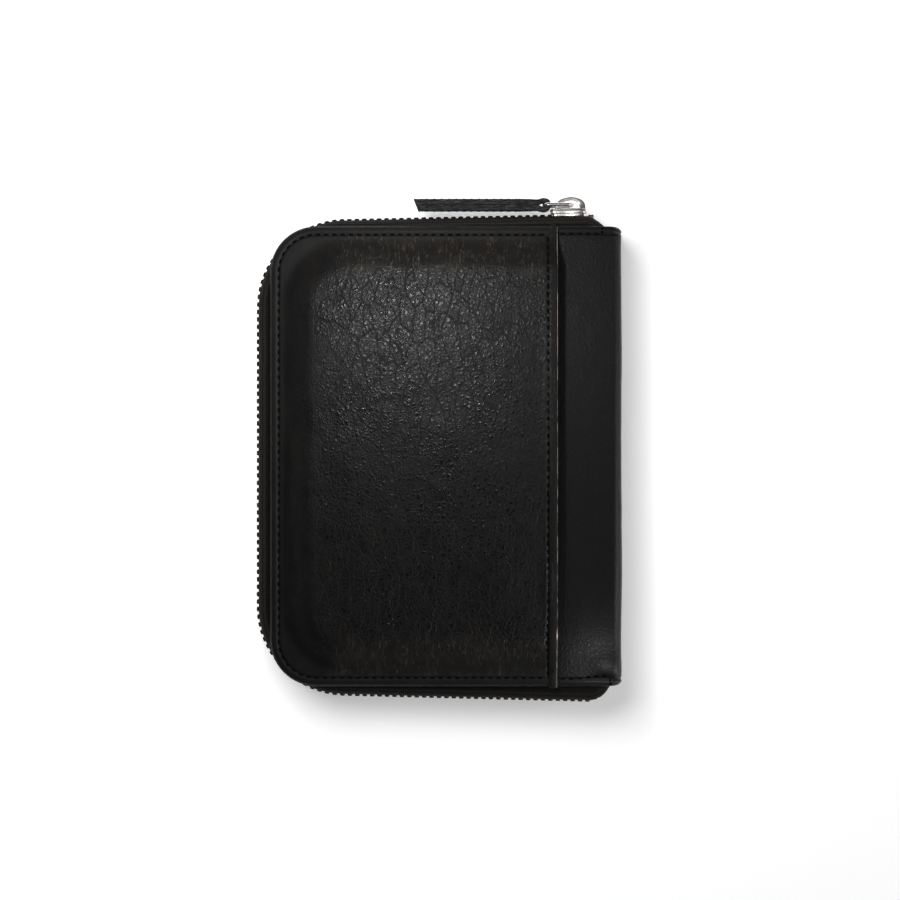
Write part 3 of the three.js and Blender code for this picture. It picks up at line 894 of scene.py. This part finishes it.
def add_stitches(parts, path, up=(0, 0, 1), size=STITCH, seed=40):
    """A row of stitches along a path: each a short thread that rises out of the leather and goes back in."""
    random = np.random.default_rng(seed)
    places, directions = resample(path, size["pitch"])
    stations = np.linspace(-1, 1, 7)
    around = np.linspace(0, 2 * math.pi, 8, endpoint=False)
    up = np.asarray(up, float)
    for place, direction in zip(places, directions):
        side = np.cross(up, direction)
        side /= np.linalg.norm(side)
        lean = direction + side * random.uniform(-0.06, 0.1)
        length = size["length"] * random.uniform(0.92, 1.05)
        rows = []
        for t in stations:
            swell = math.sqrt(max(1 - abs(t) ** 3, 0.02))
            centre = place + lean * (t * length / 2) + up * (0.04 - 0.24 * t * t)
            across = side[None, :] * np.cos(around)[:, None] * size["width"] / 2 * swell
            rise = up[None, :] * np.sin(around)[:, None] * size["height"] / 2 * swell
            rows.append(centre + across + rise)
        parts.loft(rows)


def on_surface(xy, top, inset):
    return np.column_stack([xy, top(xy[:, 0], xy[:, 1], np.full(len(xy), inset))])


def pocket_stitches():
    """Round the three sewn sides of the pocket, and down its mouth."""
    ring = outline_ring(POCKET_OUTLINE, SEAM, COUNTS, False)
    sewn = ring[: COUNTS["across"] * 2 + COUNTS["along"] + COUNTS["corner"] * 2]
    sewn = sewn[sewn[:, 0] < MOUTH - 2.8]
    parts = Parts()
    add_stitches(parts, on_surface(sewn, pocket_top, SEAM) + [0, 0, 0.1])
    y = np.linspace(TOP - 3.2, -TOP + 3.2, 200)
    x = np.full_like(y, MOUTH - 2.95)
    z = pocket_top(x, y, np.full_like(y, 9.0)) + 0.06
    add_stitches(parts, np.stack([x, y, z], 1), seed=41)
    finish(parts.build("pocket_stitching", THREAD), "front_cover", "leather")


def cover_stitches():
    """On each cover, along the edges that are sewn to the zip."""
    ends = {"top": SPINE_FLAT - 4.3, "bottom": SPINE_FLAT - 1.6}
    front = Parts()
    for side, key in ((1, "top"), (-1, "bottom")):
        x = np.linspace(MOUTH + 0.6, ends[key], 40)
        rise = 1.1 * smoothstep(MOUTH + 4, ends["bottom"], x) if side < 0 else 0
        y = side * (TOP - SEAM - rise) + 0 * x
        z = THICKNESS + front_height(x, y, SEAM + rise + 0 * x) + 0.08
        add_stitches(front, np.stack([x, y, z], 1), seed=42)
        add_back_tack(front, ends[key], side)
    finish(front.build("front_edge_stitching", THREAD), "front_cover", "leather")
    back = Parts()
    ring = outline_ring(COVER_OUTLINE, SEAM, SHELL_COUNTS, True)
    ring = ring[ring[:, 0] < ends["bottom"]]
    heights = THICKNESS + back_height(ring[:, 0], ring[:, 1], np.full(len(ring), SEAM)) + 0.02
    add_stitches(back, mirror_down(np.column_stack([ring, heights])), up=(0, 0, -1), seed=43)
    finish(back.build("back_edge_stitching", THREAD), "back_cover", "leather")


def add_back_tack(parts, x, side):
    """The few short stitches across the end of a row."""
    y = side * (TOP - SEAM)
    path = np.array([[x + 0.4, y, THICKNESS + 0.05], [x + 0.5, y + side * 2.2, THICKNESS + 0.12]])
    add_stitches(parts, path, size={**STITCH, "pitch": 1.1, "length": 1.3}, seed=44)


# ---- Zip ----


def run_height(run, x):
    return run[0] + (run[1] - run[0]) * (x - CORNER_X) / (RUN_REFERENCE - CORNER_X)


def quarter(start, start_away, end, end_away, steps=40):
    """A cubic quarter turn between two points, leaving each away from the point given."""
    start, end = np.array(start, float), np.array(end, float)
    handle = 0.55 * ZIP_CORNER
    out = start - np.array(start_away, float)
    back = end - np.array(end_away, float)
    first = start + out / np.linalg.norm(out) * handle
    second = end + back / np.linalg.norm(back) * handle
    t = np.linspace(0, 1, steps + 1)[:, None]
    return (1 - t) ** 3 * start + 3 * (1 - t) ** 2 * t * first + 3 * (1 - t) * t**2 * second + t**3 * end


def tuck(x, power):
    """How far the tape's end turns in towards the cover, past the last elements."""
    t = np.clip((x - 47.5) / 6.5, 0, 1.1)
    return 4.6 * t**power


def zip_track(top_end, bottom_end, tucked=False):
    """Centreline of the closed chain in x and y, from the top end round to the bottom end."""
    top_x = np.linspace(top_end, CORNER_X, 120)
    bottom_x = np.linspace(CORNER_X, bottom_end, 120)
    top_y = run_height(TOP_RUN, top_x) - (tuck(top_x, 1.3) if tucked else 0)
    bottom_y = run_height(BOTTOM_RUN, bottom_x) + (tuck(bottom_x, 2.6) if tucked else 0)
    top_corner = (CORNER_X, TOP_RUN[0])
    bottom_corner = (CORNER_X, BOTTOM_RUN[0])
    left_top = (ZIP_LEFT, TOP_RUN[0] - ZIP_CORNER)
    left_bottom = (ZIP_LEFT, BOTTOM_RUN[0] + ZIP_CORNER)
    top_away = (RUN_REFERENCE, TOP_RUN[1])
    bottom_away = (RUN_REFERENCE, BOTTOM_RUN[1])
    left_y = np.linspace(left_top[1], left_bottom[1], 120)
    return np.vstack(
        [
            np.stack([top_x, top_y], 1)[:-1],
            quarter(top_corner, top_away, left_top, left_bottom)[:-1],
            np.stack([np.full_like(left_y, ZIP_LEFT), left_y], 1)[:-1],
            quarter(left_bottom, left_top, bottom_corner, bottom_away)[:-1],
            np.stack([bottom_x, bottom_y], 1),
        ]
    )


def chain_tilt(y):
    """How far the chain leans: its front row stands further out than its back row.

    It leans least where the slider runs.
    """
    return 0.055 + 0.1 * smoothstep(TOP - 8, TOP - 34, y) + 0.12 * smoothstep(-TOP + 8, -TOP, y)


TOOTH_PROFILE = [
    (0.40, -1.20, 0.70),
    (0.66, -1.05, 0.86),
    (0.72, -0.78, 0.92),
    (0.50, -0.35, 0.86),
    (0.46, 0.60, 0.86),
    (0.50, 1.15, 0.98),
    (0.78, 1.45, 1.16),
    (0.84, 1.90, 1.24),
    (0.84, 2.50, 1.24),
    (0.74, 2.85, 1.12),
    (0.46, 3.05, 0.90),
]


def tooth_mesh():
    """One zip element: rings of points along its length, as (along the chain, outward, up) in millimetres."""
    rows = []
    for half_width, up, half_thickness in TOOTH_PROFILE:
        ring = rounded_section(2 * half_width, 2 * half_thickness, 0.42 if half_width > 0.7 else 0.2, 3)
        rows.append(np.column_stack([ring, np.full(len(ring), up)]))
    return np.array(rows)


def make_teeth(side, body, label):
    """side is 1 for the front row and -1 for the back row, whose elements stand between the front ones."""
    track = zip_track(SLIDER_X + 2.6, 49.0)
    path = np.column_stack([track, np.full(len(track), MIDDLE)])
    places, directions = resample(path, TOOTH_PITCH, 0.2)
    if side < 0:
        shift = directions * TOOTH_PITCH / 2
        places = places + shift
        places, directions = places[:-1], directions[:-1]
    shape = tooth_mesh()
    flat = shape.reshape(-1, 3)
    faces = loft_faces(len(shape), shape.shape[1])
    parts = Parts()
    for place, direction in zip(places, directions):
        outward = np.array([direction[1], -direction[0], 0.0])
        tilt = chain_tilt(place[1])
        up = flat[:, 2] * side
        points = place + direction * flat[:, :1] + outward * (flat[:, 1:2] + (tilt * up)[:, None])
        points[:, 2] += up
        parts.add(points, faces)
    finish(parts.build(f"{label}_zip_elements", NYLON), body, "zip_teeth", f"{label}_zip_teeth")


def make_tape(side, body, label):
    """One half of the zip's tape, from the chain round to the edge that is sewn under the cover."""
    track = zip_track(54.6, 54.6, tucked=True)
    path = np.column_stack([track, np.full(len(track), MIDDLE)])
    places, directions = resample(path, 0.9)
    flange = (TAPE_TOP - 0.3) - MIDDLE
    bend = 3.2
    line = [(0.0, 0.75), (0.0, 1.6), (0.0, 2.4), (0.0, 3.2), (0.04, 4.0), (0.06, flange - bend - 0.3)]
    angles = np.linspace(0, math.pi / 2, 9)
    line += [(bend * math.cos(a) - bend, flange - bend + bend * math.sin(a)) for a in angles]
    line += [(-bend - run, flange) for run in (0.8, 1.8, 3.0, 4.2)]
    line = np.array(line)
    normal = np.gradient(line, axis=0)
    normal = np.stack([normal[:, 1], -normal[:, 0]], 1)
    normal /= np.linalg.norm(normal, axis=1)[:, None]
    half = 0.26
    ring = np.vstack([line + normal * half, (line - normal * half)[::-1]])
    rows = []
    for place, direction in zip(places, directions):
        outward = np.array([direction[1], -direction[0], 0.0])
        lean = chain_tilt(place[1]) * side * np.clip(ring[:, 1], 0, 3.2)
        slack = 0.14 * plane_noise(place[0], place[1], 9, 9, 50) * smoothstep(2.5, 5.0, ring[:, 1])
        points = place + outward * (ring[:, :1] + (lean + slack)[:, None])
        points[:, 2] = MIDDLE + side * ring[:, 1]
        rows.append(points)
    faces = loft_faces(len(rows), len(ring))
    tape = weld(make_object(f"{label}_tape", np.vstack(rows), faces, TAPE_CLOTH))
    finish(tape, body, "zip_tape", f"{label}_zip_tape")


TAIL_PATH = [(53.9, -0.1), (55.0, -1.0), (56.2, -2.6), (56.9, -5.2), (57.1, -9.0)]  # y from the cover's edge


def make_tape_ends(side, label):
    """At each end of the spine, the tape's tail turns in and is caught between leather and lining."""
    parts = Parts()
    low, high = 0.9, TAPE_TOP - MIDDLE - 0.2
    for end in (1, -1):
        path = np.array([[x, end * (TOP + y), MIDDLE] for x, y in TAIL_PATH])
        places, directions = resample(path, 0.4)
        rows = []
        for place, direction in zip(places, directions):
            outward = np.array([-direction[1], direction[0], 0.0]) * end
            ring = [(0.22, low), (0.22, high), (-0.22, high), (-0.22, low)]
            rows.append([place + outward * n + np.array([0, 0, side * up]) for n, up in ring])
        parts.loft(rows)
    tails = parts.build(f"{label}_tape_tails", TAPE_CLOTH)
    end = (57.5 * MM, 0, (MIDDLE + side * 4.4) * MM)
    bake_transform(tails)


def make_stops():
    """Small metal clips at the ends of the chain."""
    stations = ((-1.0, 0.75), (-0.8, 0.94), (-0.5, 1.0), (0.5, 1.0), (0.8, 0.94), (1.0, 0.75))
    for name, node_name, slope, body in (
        ("front_stop_clip", "front_top_stop", TOP_SLOPE, "front_cover"),
        ("back_stop_clip", "back_top_stop", TOP_SLOPE, "back_cover"),
        ("bottom_stop_clip", "bottom_stop", 0, "back_cover"),
    ):
        low, high = node_box(node_name)
        section = rounded_section(2.3, high[2] - low[2], 0.4, 3)
        ahead = np.array([math.cos(slope), math.sin(slope), 0])
        aside = np.array([-math.sin(slope), math.cos(slope), 0])
        rows = []
        for along, shrink in stations:
            ring = section * shrink
            rows.append((low + high) / 2 + along * ahead + ring[:, :1] * aside + ring[:, 1:] * [0, 0, 1])
        parts = Parts()
        parts.loft(rows)
        finish(parts.build(name, NICKEL), body, "zip_metal", node_name)


# ---- Slider and pull ----

PLATE_OUTLINE = [
    (-6.1, -1.6), (-5.6, -3.0), (-3.6, -3.4), (-0.8, -3.6), (1.6, -4.2), (4.0, -4.4), (5.7, -3.8),
    (6.2, -2.6), (5.7, -1.2), (5.3, 0.0), (5.7, 1.2), (6.2, 2.6), (5.7, 3.8), (4.0, 4.4), (1.6, 4.2),
    (-0.8, 3.6), (-3.6, 3.4), (-5.6, 3.0), (-6.1, 1.6), (-6.2, 0.0),
]
LIP_OUTLINE = [
    (-4.6, 2.75), (-0.8, 2.95), (1.6, 3.5), (4.0, 3.8), (4.0, 4.3), (1.6, 4.1), (-0.8, 3.5), (-4.6, 3.3),
]
NECK_OUTLINE = [(3.1, 0.0), (4.0, -0.9), (5.2, -0.8), (5.5, 0.0), (5.2, 0.8), (4.0, 0.9)]
PAD_OUTLINE = [(-5.3, -1.5), (0, -1.9), (5.7, -1.7), (6.0, 0), (5.7, 1.7), (0, 1.9), (-5.3, 1.5), (-5.6, 0)]
CHANNEL = 1.5
PLATE_TOP = 3.1
LIP_GAP = 0.62  # from the zip's middle to the turned-in edges
CROWN_PATH = [
    (-3.5, 2.9), (-3.5, 3.9), (-3.1, 5.1), (-1.7, 6.2), (0.4, 6.68), (2.4, 6.5), (4.0, 5.7), (4.75, 4.6),
    (4.8, 3.7), (4.8, 2.9),
]
CROWN_WIDTH = 3.2


def from_slider(points):
    """Points given along the zip, outward and up from the slider's middle, in the organizer's frame."""
    points = np.asarray(points, float)
    cos, sin = math.cos(TOP_SLOPE), math.sin(TOP_SLOPE)
    x = SLIDER_X + points[:, 0] * cos - points[:, 1] * sin
    y = SLIDER_Y + points[:, 0] * sin + points[:, 1] * cos
    return np.stack([x, y, MIDDLE + points[:, 2]], 1)


def add_plate(parts, outline, low, high, bevel, steps):
    """Adds a flat piece of the slider, level with the zip. low and high are outward from it."""
    points, faces = slab(outline, low, high, bevel, steps)
    parts.add(from_slider(points[:, [0, 2, 1]]), faces)


def make_slider():
    """Two plates with turned-in edges and the neck between them."""
    parts = Parts()
    outline = smooth_path(PLATE_OUTLINE, 5, closed=True)
    for low, high in ((CHANNEL, PLATE_TOP), (-PLATE_TOP, -CHANNEL)):
        add_plate(parts, outline, low, high, 0.42, 4)
    for side in (-1, 1):
        lip = smooth_path(LIP_OUTLINE, 4, closed=True)
        lip[:, 1] *= side
        for low, high in ((LIP_GAP, CHANNEL + 0.6), (-CHANNEL - 0.6, -LIP_GAP)):
            add_plate(parts, lip, low, high, 0.14, 2)
    neck = smooth_path(NECK_OUTLINE, 5, closed=True)
    add_plate(parts, neck, -CHANNEL - 0.4, CHANNEL + 0.4, 0.1, 2)
    finish(parts.build("zip_slider_plates", NICKEL), "zip_slider", "zip_metal", "slider_body")


def make_crown():
    """The arched bridge over the slider that holds the link."""
    path = smooth_path([(x, y, 0.0) for x, y in CROWN_PATH], 8)
    run = np.linspace(-1, 1, len(path))
    tangents = unit_tangents(path)
    width = CROWN_WIDTH * (0.86 + 0.1 * run + 0.12 * run**2)
    rows = ribbon(path, tangents, 1.15 + 0.85 * tangents[:, 1] ** 2, width, 0.3, 4)
    parts = Parts()
    parts.loft([from_slider(row) for row in rows])
    add_plate(parts, smooth_path(PAD_OUTLINE, 5, closed=True), PLATE_TOP - 0.2, PLATE_TOP + 0.32, 0.2, 3)
    finish(parts.build("zip_slider_crown", NICKEL), "zip_slider", "zip_metal", "slider_crown")


def make_link():
    """A level ring of round wire, with one bar inside the crown and the other inside the strap's loop."""
    pivot = joint_place("link_swing")
    length = pivot[0] - joint_place("strap_swing")[0]
    half, radius, wire = 4.3, 1.7, 0.66
    corners = []
    for x, z, start in ((0, half, 0), (-length, half, 90), (-length, -half, 180), (0, -half, 270)):
        centre_x = pivot[0] + (x - radius if x == 0 else x + radius)
        centre_z = z - math.copysign(radius, z)
        for angle in np.radians(np.linspace(start, start + 90, 9)):
            x_here = centre_x + radius * math.cos(angle)
            corners.append((x_here, pivot[1], centre_z + radius * math.sin(angle)))
    corners = np.array(corners) + [0, 0, MIDDLE]
    path = []
    for start, end in zip(corners, np.roll(corners, -1, axis=0)):
        steps = max(1, int(np.linalg.norm(end - start) / 0.4))
        path.extend(start + (end - start) * i / steps for i in range(steps))
    ahead = np.roll(path, -1, axis=0) - np.roll(path, 1, axis=0)
    sides = np.cross(ahead / np.linalg.norm(ahead, axis=1)[:, None], (0, 1, 0))
    around = np.linspace(0, 2 * math.pi, 14, endpoint=False)
    outward, aside = wire * np.cos(around), wire * np.sin(around)
    rise = np.outer(outward, (0, 1, 0))
    rows = [centre + rise + np.outer(aside, side) for centre, side in zip(path, sides)]
    count = len(rows) * len(around)
    faces = [[i % count for i in face] for face in loft_faces(len(rows) + 1, len(around), caps=False)]
    parts = Parts()
    parts.add(np.vstack(rows), faces)
    finish(parts.build("wire_link", NICKEL), "pull_link", "zip_metal", "pull_link")


STRAP_PATH = [
    (-52.6, -0.97), (-44, -0.99), (-36, -0.95), (-28, -0.98), (-21, -0.98), (-16.4, -0.97), (-14.4, -0.95),
    (-12.6, -0.92), (-11.4, -0.98), (-10.5, -1.3), (-9.6, -1.48), (-8.65, -1.32), (-8.0, -0.75), (-7.85, 0.0),
    (-8.0, 0.75), (-8.65, 1.32), (-9.6, 1.48), (-10.5, 1.3), (-11.4, 0.98), (-12.6, 0.92), (-14.4, 0.95),
    (-16.4, 0.97), (-21, 0.98), (-28, 0.97), (-36, 0.99), (-44, 0.95), (-52.6, 0.97),
]
STRAP_WIDTH = 6.8
STRAP_THICKNESS = 1.96
TIP_SLANT = 0.4
STRAP_STITCH = {"length": 1.9, "pitch": 2.5, "width": 0.5, "height": 0.3}
STRAP_ROW = 2.3  # from the strap's middle to each row of stitches


def make_strap():
    """One strip of leather folded round the link and back on itself, thinned where it folds."""
    pivot = joint_place("link_swing")
    origin = np.array([pivot[0], pivot[1], MIDDLE])
    flat = smooth_path(STRAP_PATH, 10)
    path = np.column_stack([flat, np.zeros(len(flat))]) + origin
    thin = STRAP_THICKNESS - 0.42 * smoothstep(-14.5, -9.5, flat[:, 0])
    fray = 0.05 * plane_noise(flat[:, 0], np.arange(len(flat)) * 0.7, 1.1, 3, 60)
    rows = ribbon(path, unit_tangents(path), thin, STRAP_WIDTH + fray, 0.2, 3)
    for row, x in zip(rows, flat[:, 0]):
        row[:, 0] -= TIP_SLANT * smoothstep(-46, -52, x) * (row[:, 1] - pivot[1])
    parts = Parts()
    parts.loft(rows)
    strap = parts.build("pull_strap_leather", STRAP_LEATHER)
    strap.data.materials.append(RAW_EDGE)
    for face in strap.data.polygons:
        face.material_index = int(abs(face.normal.z) > 0.8)
    finish(strap, "pull_strap", "leather", "pull_strap")
    threads = Parts()
    for face in (-1, 1):
        for z in (-STRAP_ROW, STRAP_ROW):
            x = np.linspace(-50.2, -17.5, 30)
            line = np.stack([x, np.full_like(x, face * 1.92), np.full_like(x, z)], 1) + origin
            add_stitches(threads, line, up=(0, face, 0), size=STRAP_STITCH, seed=61)
        across = np.array([[-17.6, face * 2.0, -STRAP_ROW], [-17.6, face * 2.0, STRAP_ROW]]) + origin
        add_stitches(threads, across, up=(0, face, 0), size=STRAP_STITCH, seed=62)
    finish(threads.build("pull_strap_stitching", THREAD), "pull_strap", "leather")


# ---- Inside ----

LINING_DEPTH = THICKNESS - node_box("front_cover_lining")[0][2]
SPINE_DEPTH = SPINE_FACE - node_box("spine_lining")[0][0]
LINING_BORDER = 2.2
LINING_CORNER = 24
LINING_OUTLINE = (
    LEFT + LINING_BORDER, COVER_OUTLINE[1], -TOP + LINING_BORDER, TOP - LINING_BORDER, LINING_CORNER, 0,
)
INNER_COUNTS = {"across": 90, "along": 100, "corner": 12}
INNER_STITCH = {"length": 2.0, "pitch": 2.7, "width": 0.45, "height": 0.28}
INNER_SEAM = 1.9


def lining_place(x, y, height):
    depth = LINING_DEPTH - (LINING_DEPTH - SPINE_DEPTH) * smoothstep(SPINE_FLAT - 3, SPINE_FLAT + ARC, x)
    return wrap_front(x, y, height - depth)


def make_linings():
    """Cloth over the inside of each cover and half of the spine."""

    def inside(x, y, inset):
        return 0.05 + 0.04 * plane_noise(x, y, 12, 12, 70)

    def outside(x, y, inset):
        return np.full_like(x, 0.45)

    def place_back(x, y, height):
        return mirror_down(lining_place(x, y, height))

    for side, label, place in ((1, "front", lining_place), (-1, "back", place_back)):
        name = f"{label}_lining_cloth"
        lining = sheet(name, LINING_OUTLINE, inside, outside, LINING_CLOTH, place, True, INNER_COUNTS, 3.0)
        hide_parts(f"{label}_cover_lining")
        start = ((SPINE_FLAT - 3) * MM, 0, (MIDDLE + side * (MIDDLE - LINING_DEPTH)) * MM)
        end = ((SPINE_FACE - SPINE_DEPTH) * MM, 0, (MIDDLE + side * (MIDDLE - LINING_DEPTH - 4.0)) * MM)
        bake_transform(lining)
        if side > 0:
            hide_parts("spine_lining")


def inner_pocket(name, node_name, body, facing):
    """A flat leather pocket with a creased top edge. facing is 1 on the back cover and -1 on the front."""
    low, high = node_box(node_name)
    outline = (low[0], high[0], low[1], high[1], 3.2, 3.2)
    outer, inner = (high[2], low[2]) if facing > 0 else (low[2], high[2])

    def top(x, y, inset):
        crease = 0.14 * bell(high[1] - y - 1.6, 0.3)
        sewn = 0.1 * bell(inset - INNER_SEAM, 0.35) * smoothstep(2.5, 3.5, high[1] - y)
        wave = 0.03 * plane_noise(x, y, 14, 9, 72)
        return outer + facing * (wave - 0.03 - crease - sewn - edge_drop(inset, 0.3))

    def bottom(x, y, inset):
        return np.full_like(x, inner + facing * 0.02)

    panel = sheet(name, outline, top, bottom, INNER_LEATHER, None, False, INNER_COUNTS, 3.0)
    finish(panel, body, "inner_leather", node_name)


def make_inner_pockets():
    inner_pocket("document_sleeve_leather", "document_sleeve", "back_cover", 1)
    for i in range(1, 5):
        inner_pocket(f"card_pocket_leather_{i}", f"card_pocket_{i}", "back_cover", 1)
    inner_pocket("ticket_sleeve_leather", "ticket_sleeve", "front_cover", -1)


def u_path(low, high, inset, level):
    """Down one side of a pocket, along its foot and up the other side. level gives the height at each y."""
    left, right = low[0] + inset, high[0] - inset
    foot, top = low[1] + inset, high[1] - 3.4
    ys = np.linspace(top, foot, 160)
    down = [(left, y, level(y)) for y in ys]
    along = [(x, foot, level(foot)) for x in np.linspace(left + 1, right - 1, 120)]
    up = [(right, y, level(y)) for y in ys[::-1]]
    return np.array(down + along + up)


def inner_stitches():
    nodes = ["document_sleeve"] + [f"card_pocket_{i}" for i in range(1, 5)]
    tops = [(node_box(n)[1][1], node_box(n)[1][2]) for n in nodes]
    low, high = node_box("ticket_sleeve")

    def back_level(y):
        return max(z for top, z in tops if y <= top) + 0.02

    def front_level(y):
        return low[2] - 0.02

    back = Parts()
    path = u_path(*node_box("document_sleeve"), INNER_SEAM, back_level)
    add_stitches(back, path, size=INNER_STITCH, seed=73)
    finish(back.build("back_inner_stitching", THREAD), "back_cover", "inner_leather")
    front = Parts()
    path = u_path(low, high, INNER_SEAM, front_level)
    add_stitches(front, path, up=(0, 0, -1), size=INNER_STITCH, seed=74)
    finish(front.build("front_inner_stitching", THREAD), "front_cover", "inner_leather")


def cover_boards():
    """The stiffeners keep their CAD shape and get their own material."""
    for label in ("front", "back"):
        board = frame["nodes"][f"{label}_cover_board"]
        board.data.materials.clear()
        board.data.materials.append(BOARD)


# ---- Stage ----

FLOOR_HALF = 3.0  # metres, like the other sizes of the stage
FLOOR_GLOW = (0.15, 0.8, 0.4, 0.85)  # from and to these distances, from and to these strengths
WALLS = 0.5  # brightness of the studio at the horizon
CEILING = 0.05
CAMERA_DISTANCE = 1.2
VIEW_MIDDLE = (1.2, 2.1)  # millimetres, as the next
VIEW_WIDTH = 301.3
SENSOR = 36


def stage():
    surface = Surface("pale_floor", Roughness=0.9)
    surface.feed("Base Color", surface.noise(400, 2.0).mix((0.9, 0.9, 0.9), (0.93, 0.93, 0.93)))
    surface.feed("Emission Color", (1, 1, 1, 1))
    away = surface.place.apply("ShaderNodeVectorMath", "LENGTH", output="Value")
    surface.feed("Emission Strength", away.ramp(*FLOOR_GLOW))
    mesh = bpy.data.meshes.new("floor")
    corners = [(x * FLOOR_HALF, y * FLOOR_HALF, 0) for x, y in ((-1, -1), (1, -1), (1, 1), (-1, 1))]
    mesh.from_pydata(corners, [], [(0, 1, 2, 3)])
    floor = bpy.data.objects.new("floor", mesh)
    mesh.materials.append(surface.material)
    bpy.context.collection.objects.link(floor)


def area_light(name, place, target, size, power, diffuse=True, glossy=True):
    data = bpy.data.lights.new(name, "AREA")
    data.shape = "SQUARE"
    data.size = size
    data.energy = power
    light = bpy.data.objects.new(name, data)
    light.location = place
    light.rotation_euler = (Vector(target) - Vector(place)).to_track_quat("-Z", "Y").to_euler()
    light.visible_camera = False
    light.visible_diffuse = diffuse
    light.visible_glossy = glossy
    bpy.context.collection.objects.link(light)
    return light


def metal_light():
    """A wide, weak light from above that falls on the metal pieces only, for their pale reflections."""
    metal = bpy.data.collections.new("metal_pieces")
    for obj in bpy.data.objects:
        if obj.type == "MESH" and NICKEL.name in obj.data.materials:
            metal.objects.link(obj)
    light = area_light("metal_softbox", (0, 0, 1.6), (0, 0, 0), 0.5, 0.85)
    light.light_linking.receiver_collection = metal


def studio():
    world = bpy.data.worlds.new("studio")
    world.use_nodes = True
    tree = world.node_tree
    direction = tree.nodes.new("ShaderNodeTexCoord").outputs["Generated"]
    split = tree.nodes.new("ShaderNodeSeparateXYZ")
    tree.links.new(direction, split.inputs[0])
    shade = Field(tree, split.outputs["Z"]).ramp(0.05, 0.75, WALLS, CEILING)
    plug(shade, tree.nodes["Background"].inputs["Strength"])
    bpy.context.scene.world = world
    area_light("key", (-0.18, 0.22, 0.45), (0, 0, 0), 0.36, 3.0, glossy=False)
    area_light("fill", (0.8, -0.1, 0.5), (0, 0, 0), 0.5, 2.2, glossy=False)
    area_light("rim", (0.6, -0.25, 0.45), (0, 0, 0), 0.35, 2.4, diffuse=False)
    area_light("sheen", (-0.0125, 0.057, 0.12), (-0.0115, 0.052, 0), 0.013, 0.055)
    area_light("corner", (0.0525, -0.0695, 0.042), (0.0525, -0.0695, 0), 0.004, 0.0016, diffuse=False)


def camera():
    """Looks straight down from above, with the cover's height about half of the frame."""
    data = bpy.data.cameras.new("camera")
    data.sensor_width = SENSOR
    data.lens = SENSOR * CAMERA_DISTANCE / (VIEW_WIDTH * MM)
    made = bpy.data.objects.new("camera", data)
    made.location = (VIEW_MIDDLE[0] * MM, VIEW_MIDDLE[1] * MM, CAMERA_DISTANCE + THICKNESS * MM)
    bpy.context.collection.objects.link(made)
    bpy.context.scene.camera = made
    bpy.context.scene.view_settings.view_transform = "Standard"


camera()
studio()
stage()
make_front_shell()
make_back_shell()
make_pocket()
make_pocket_binding()
pocket_stitches()
cover_stitches()
for side, body, label in ((1, "front_cover", "front"), (-1, "back_cover", "back")):
    make_teeth(side, body, label)
    make_tape(side, body, label)
    make_tape_ends(side, label)
make_stops()
make_slider()
make_crown()
make_link()
make_strap()
make_linings()
make_inner_pockets()
inner_stitches()
cover_boards()
metal_light()
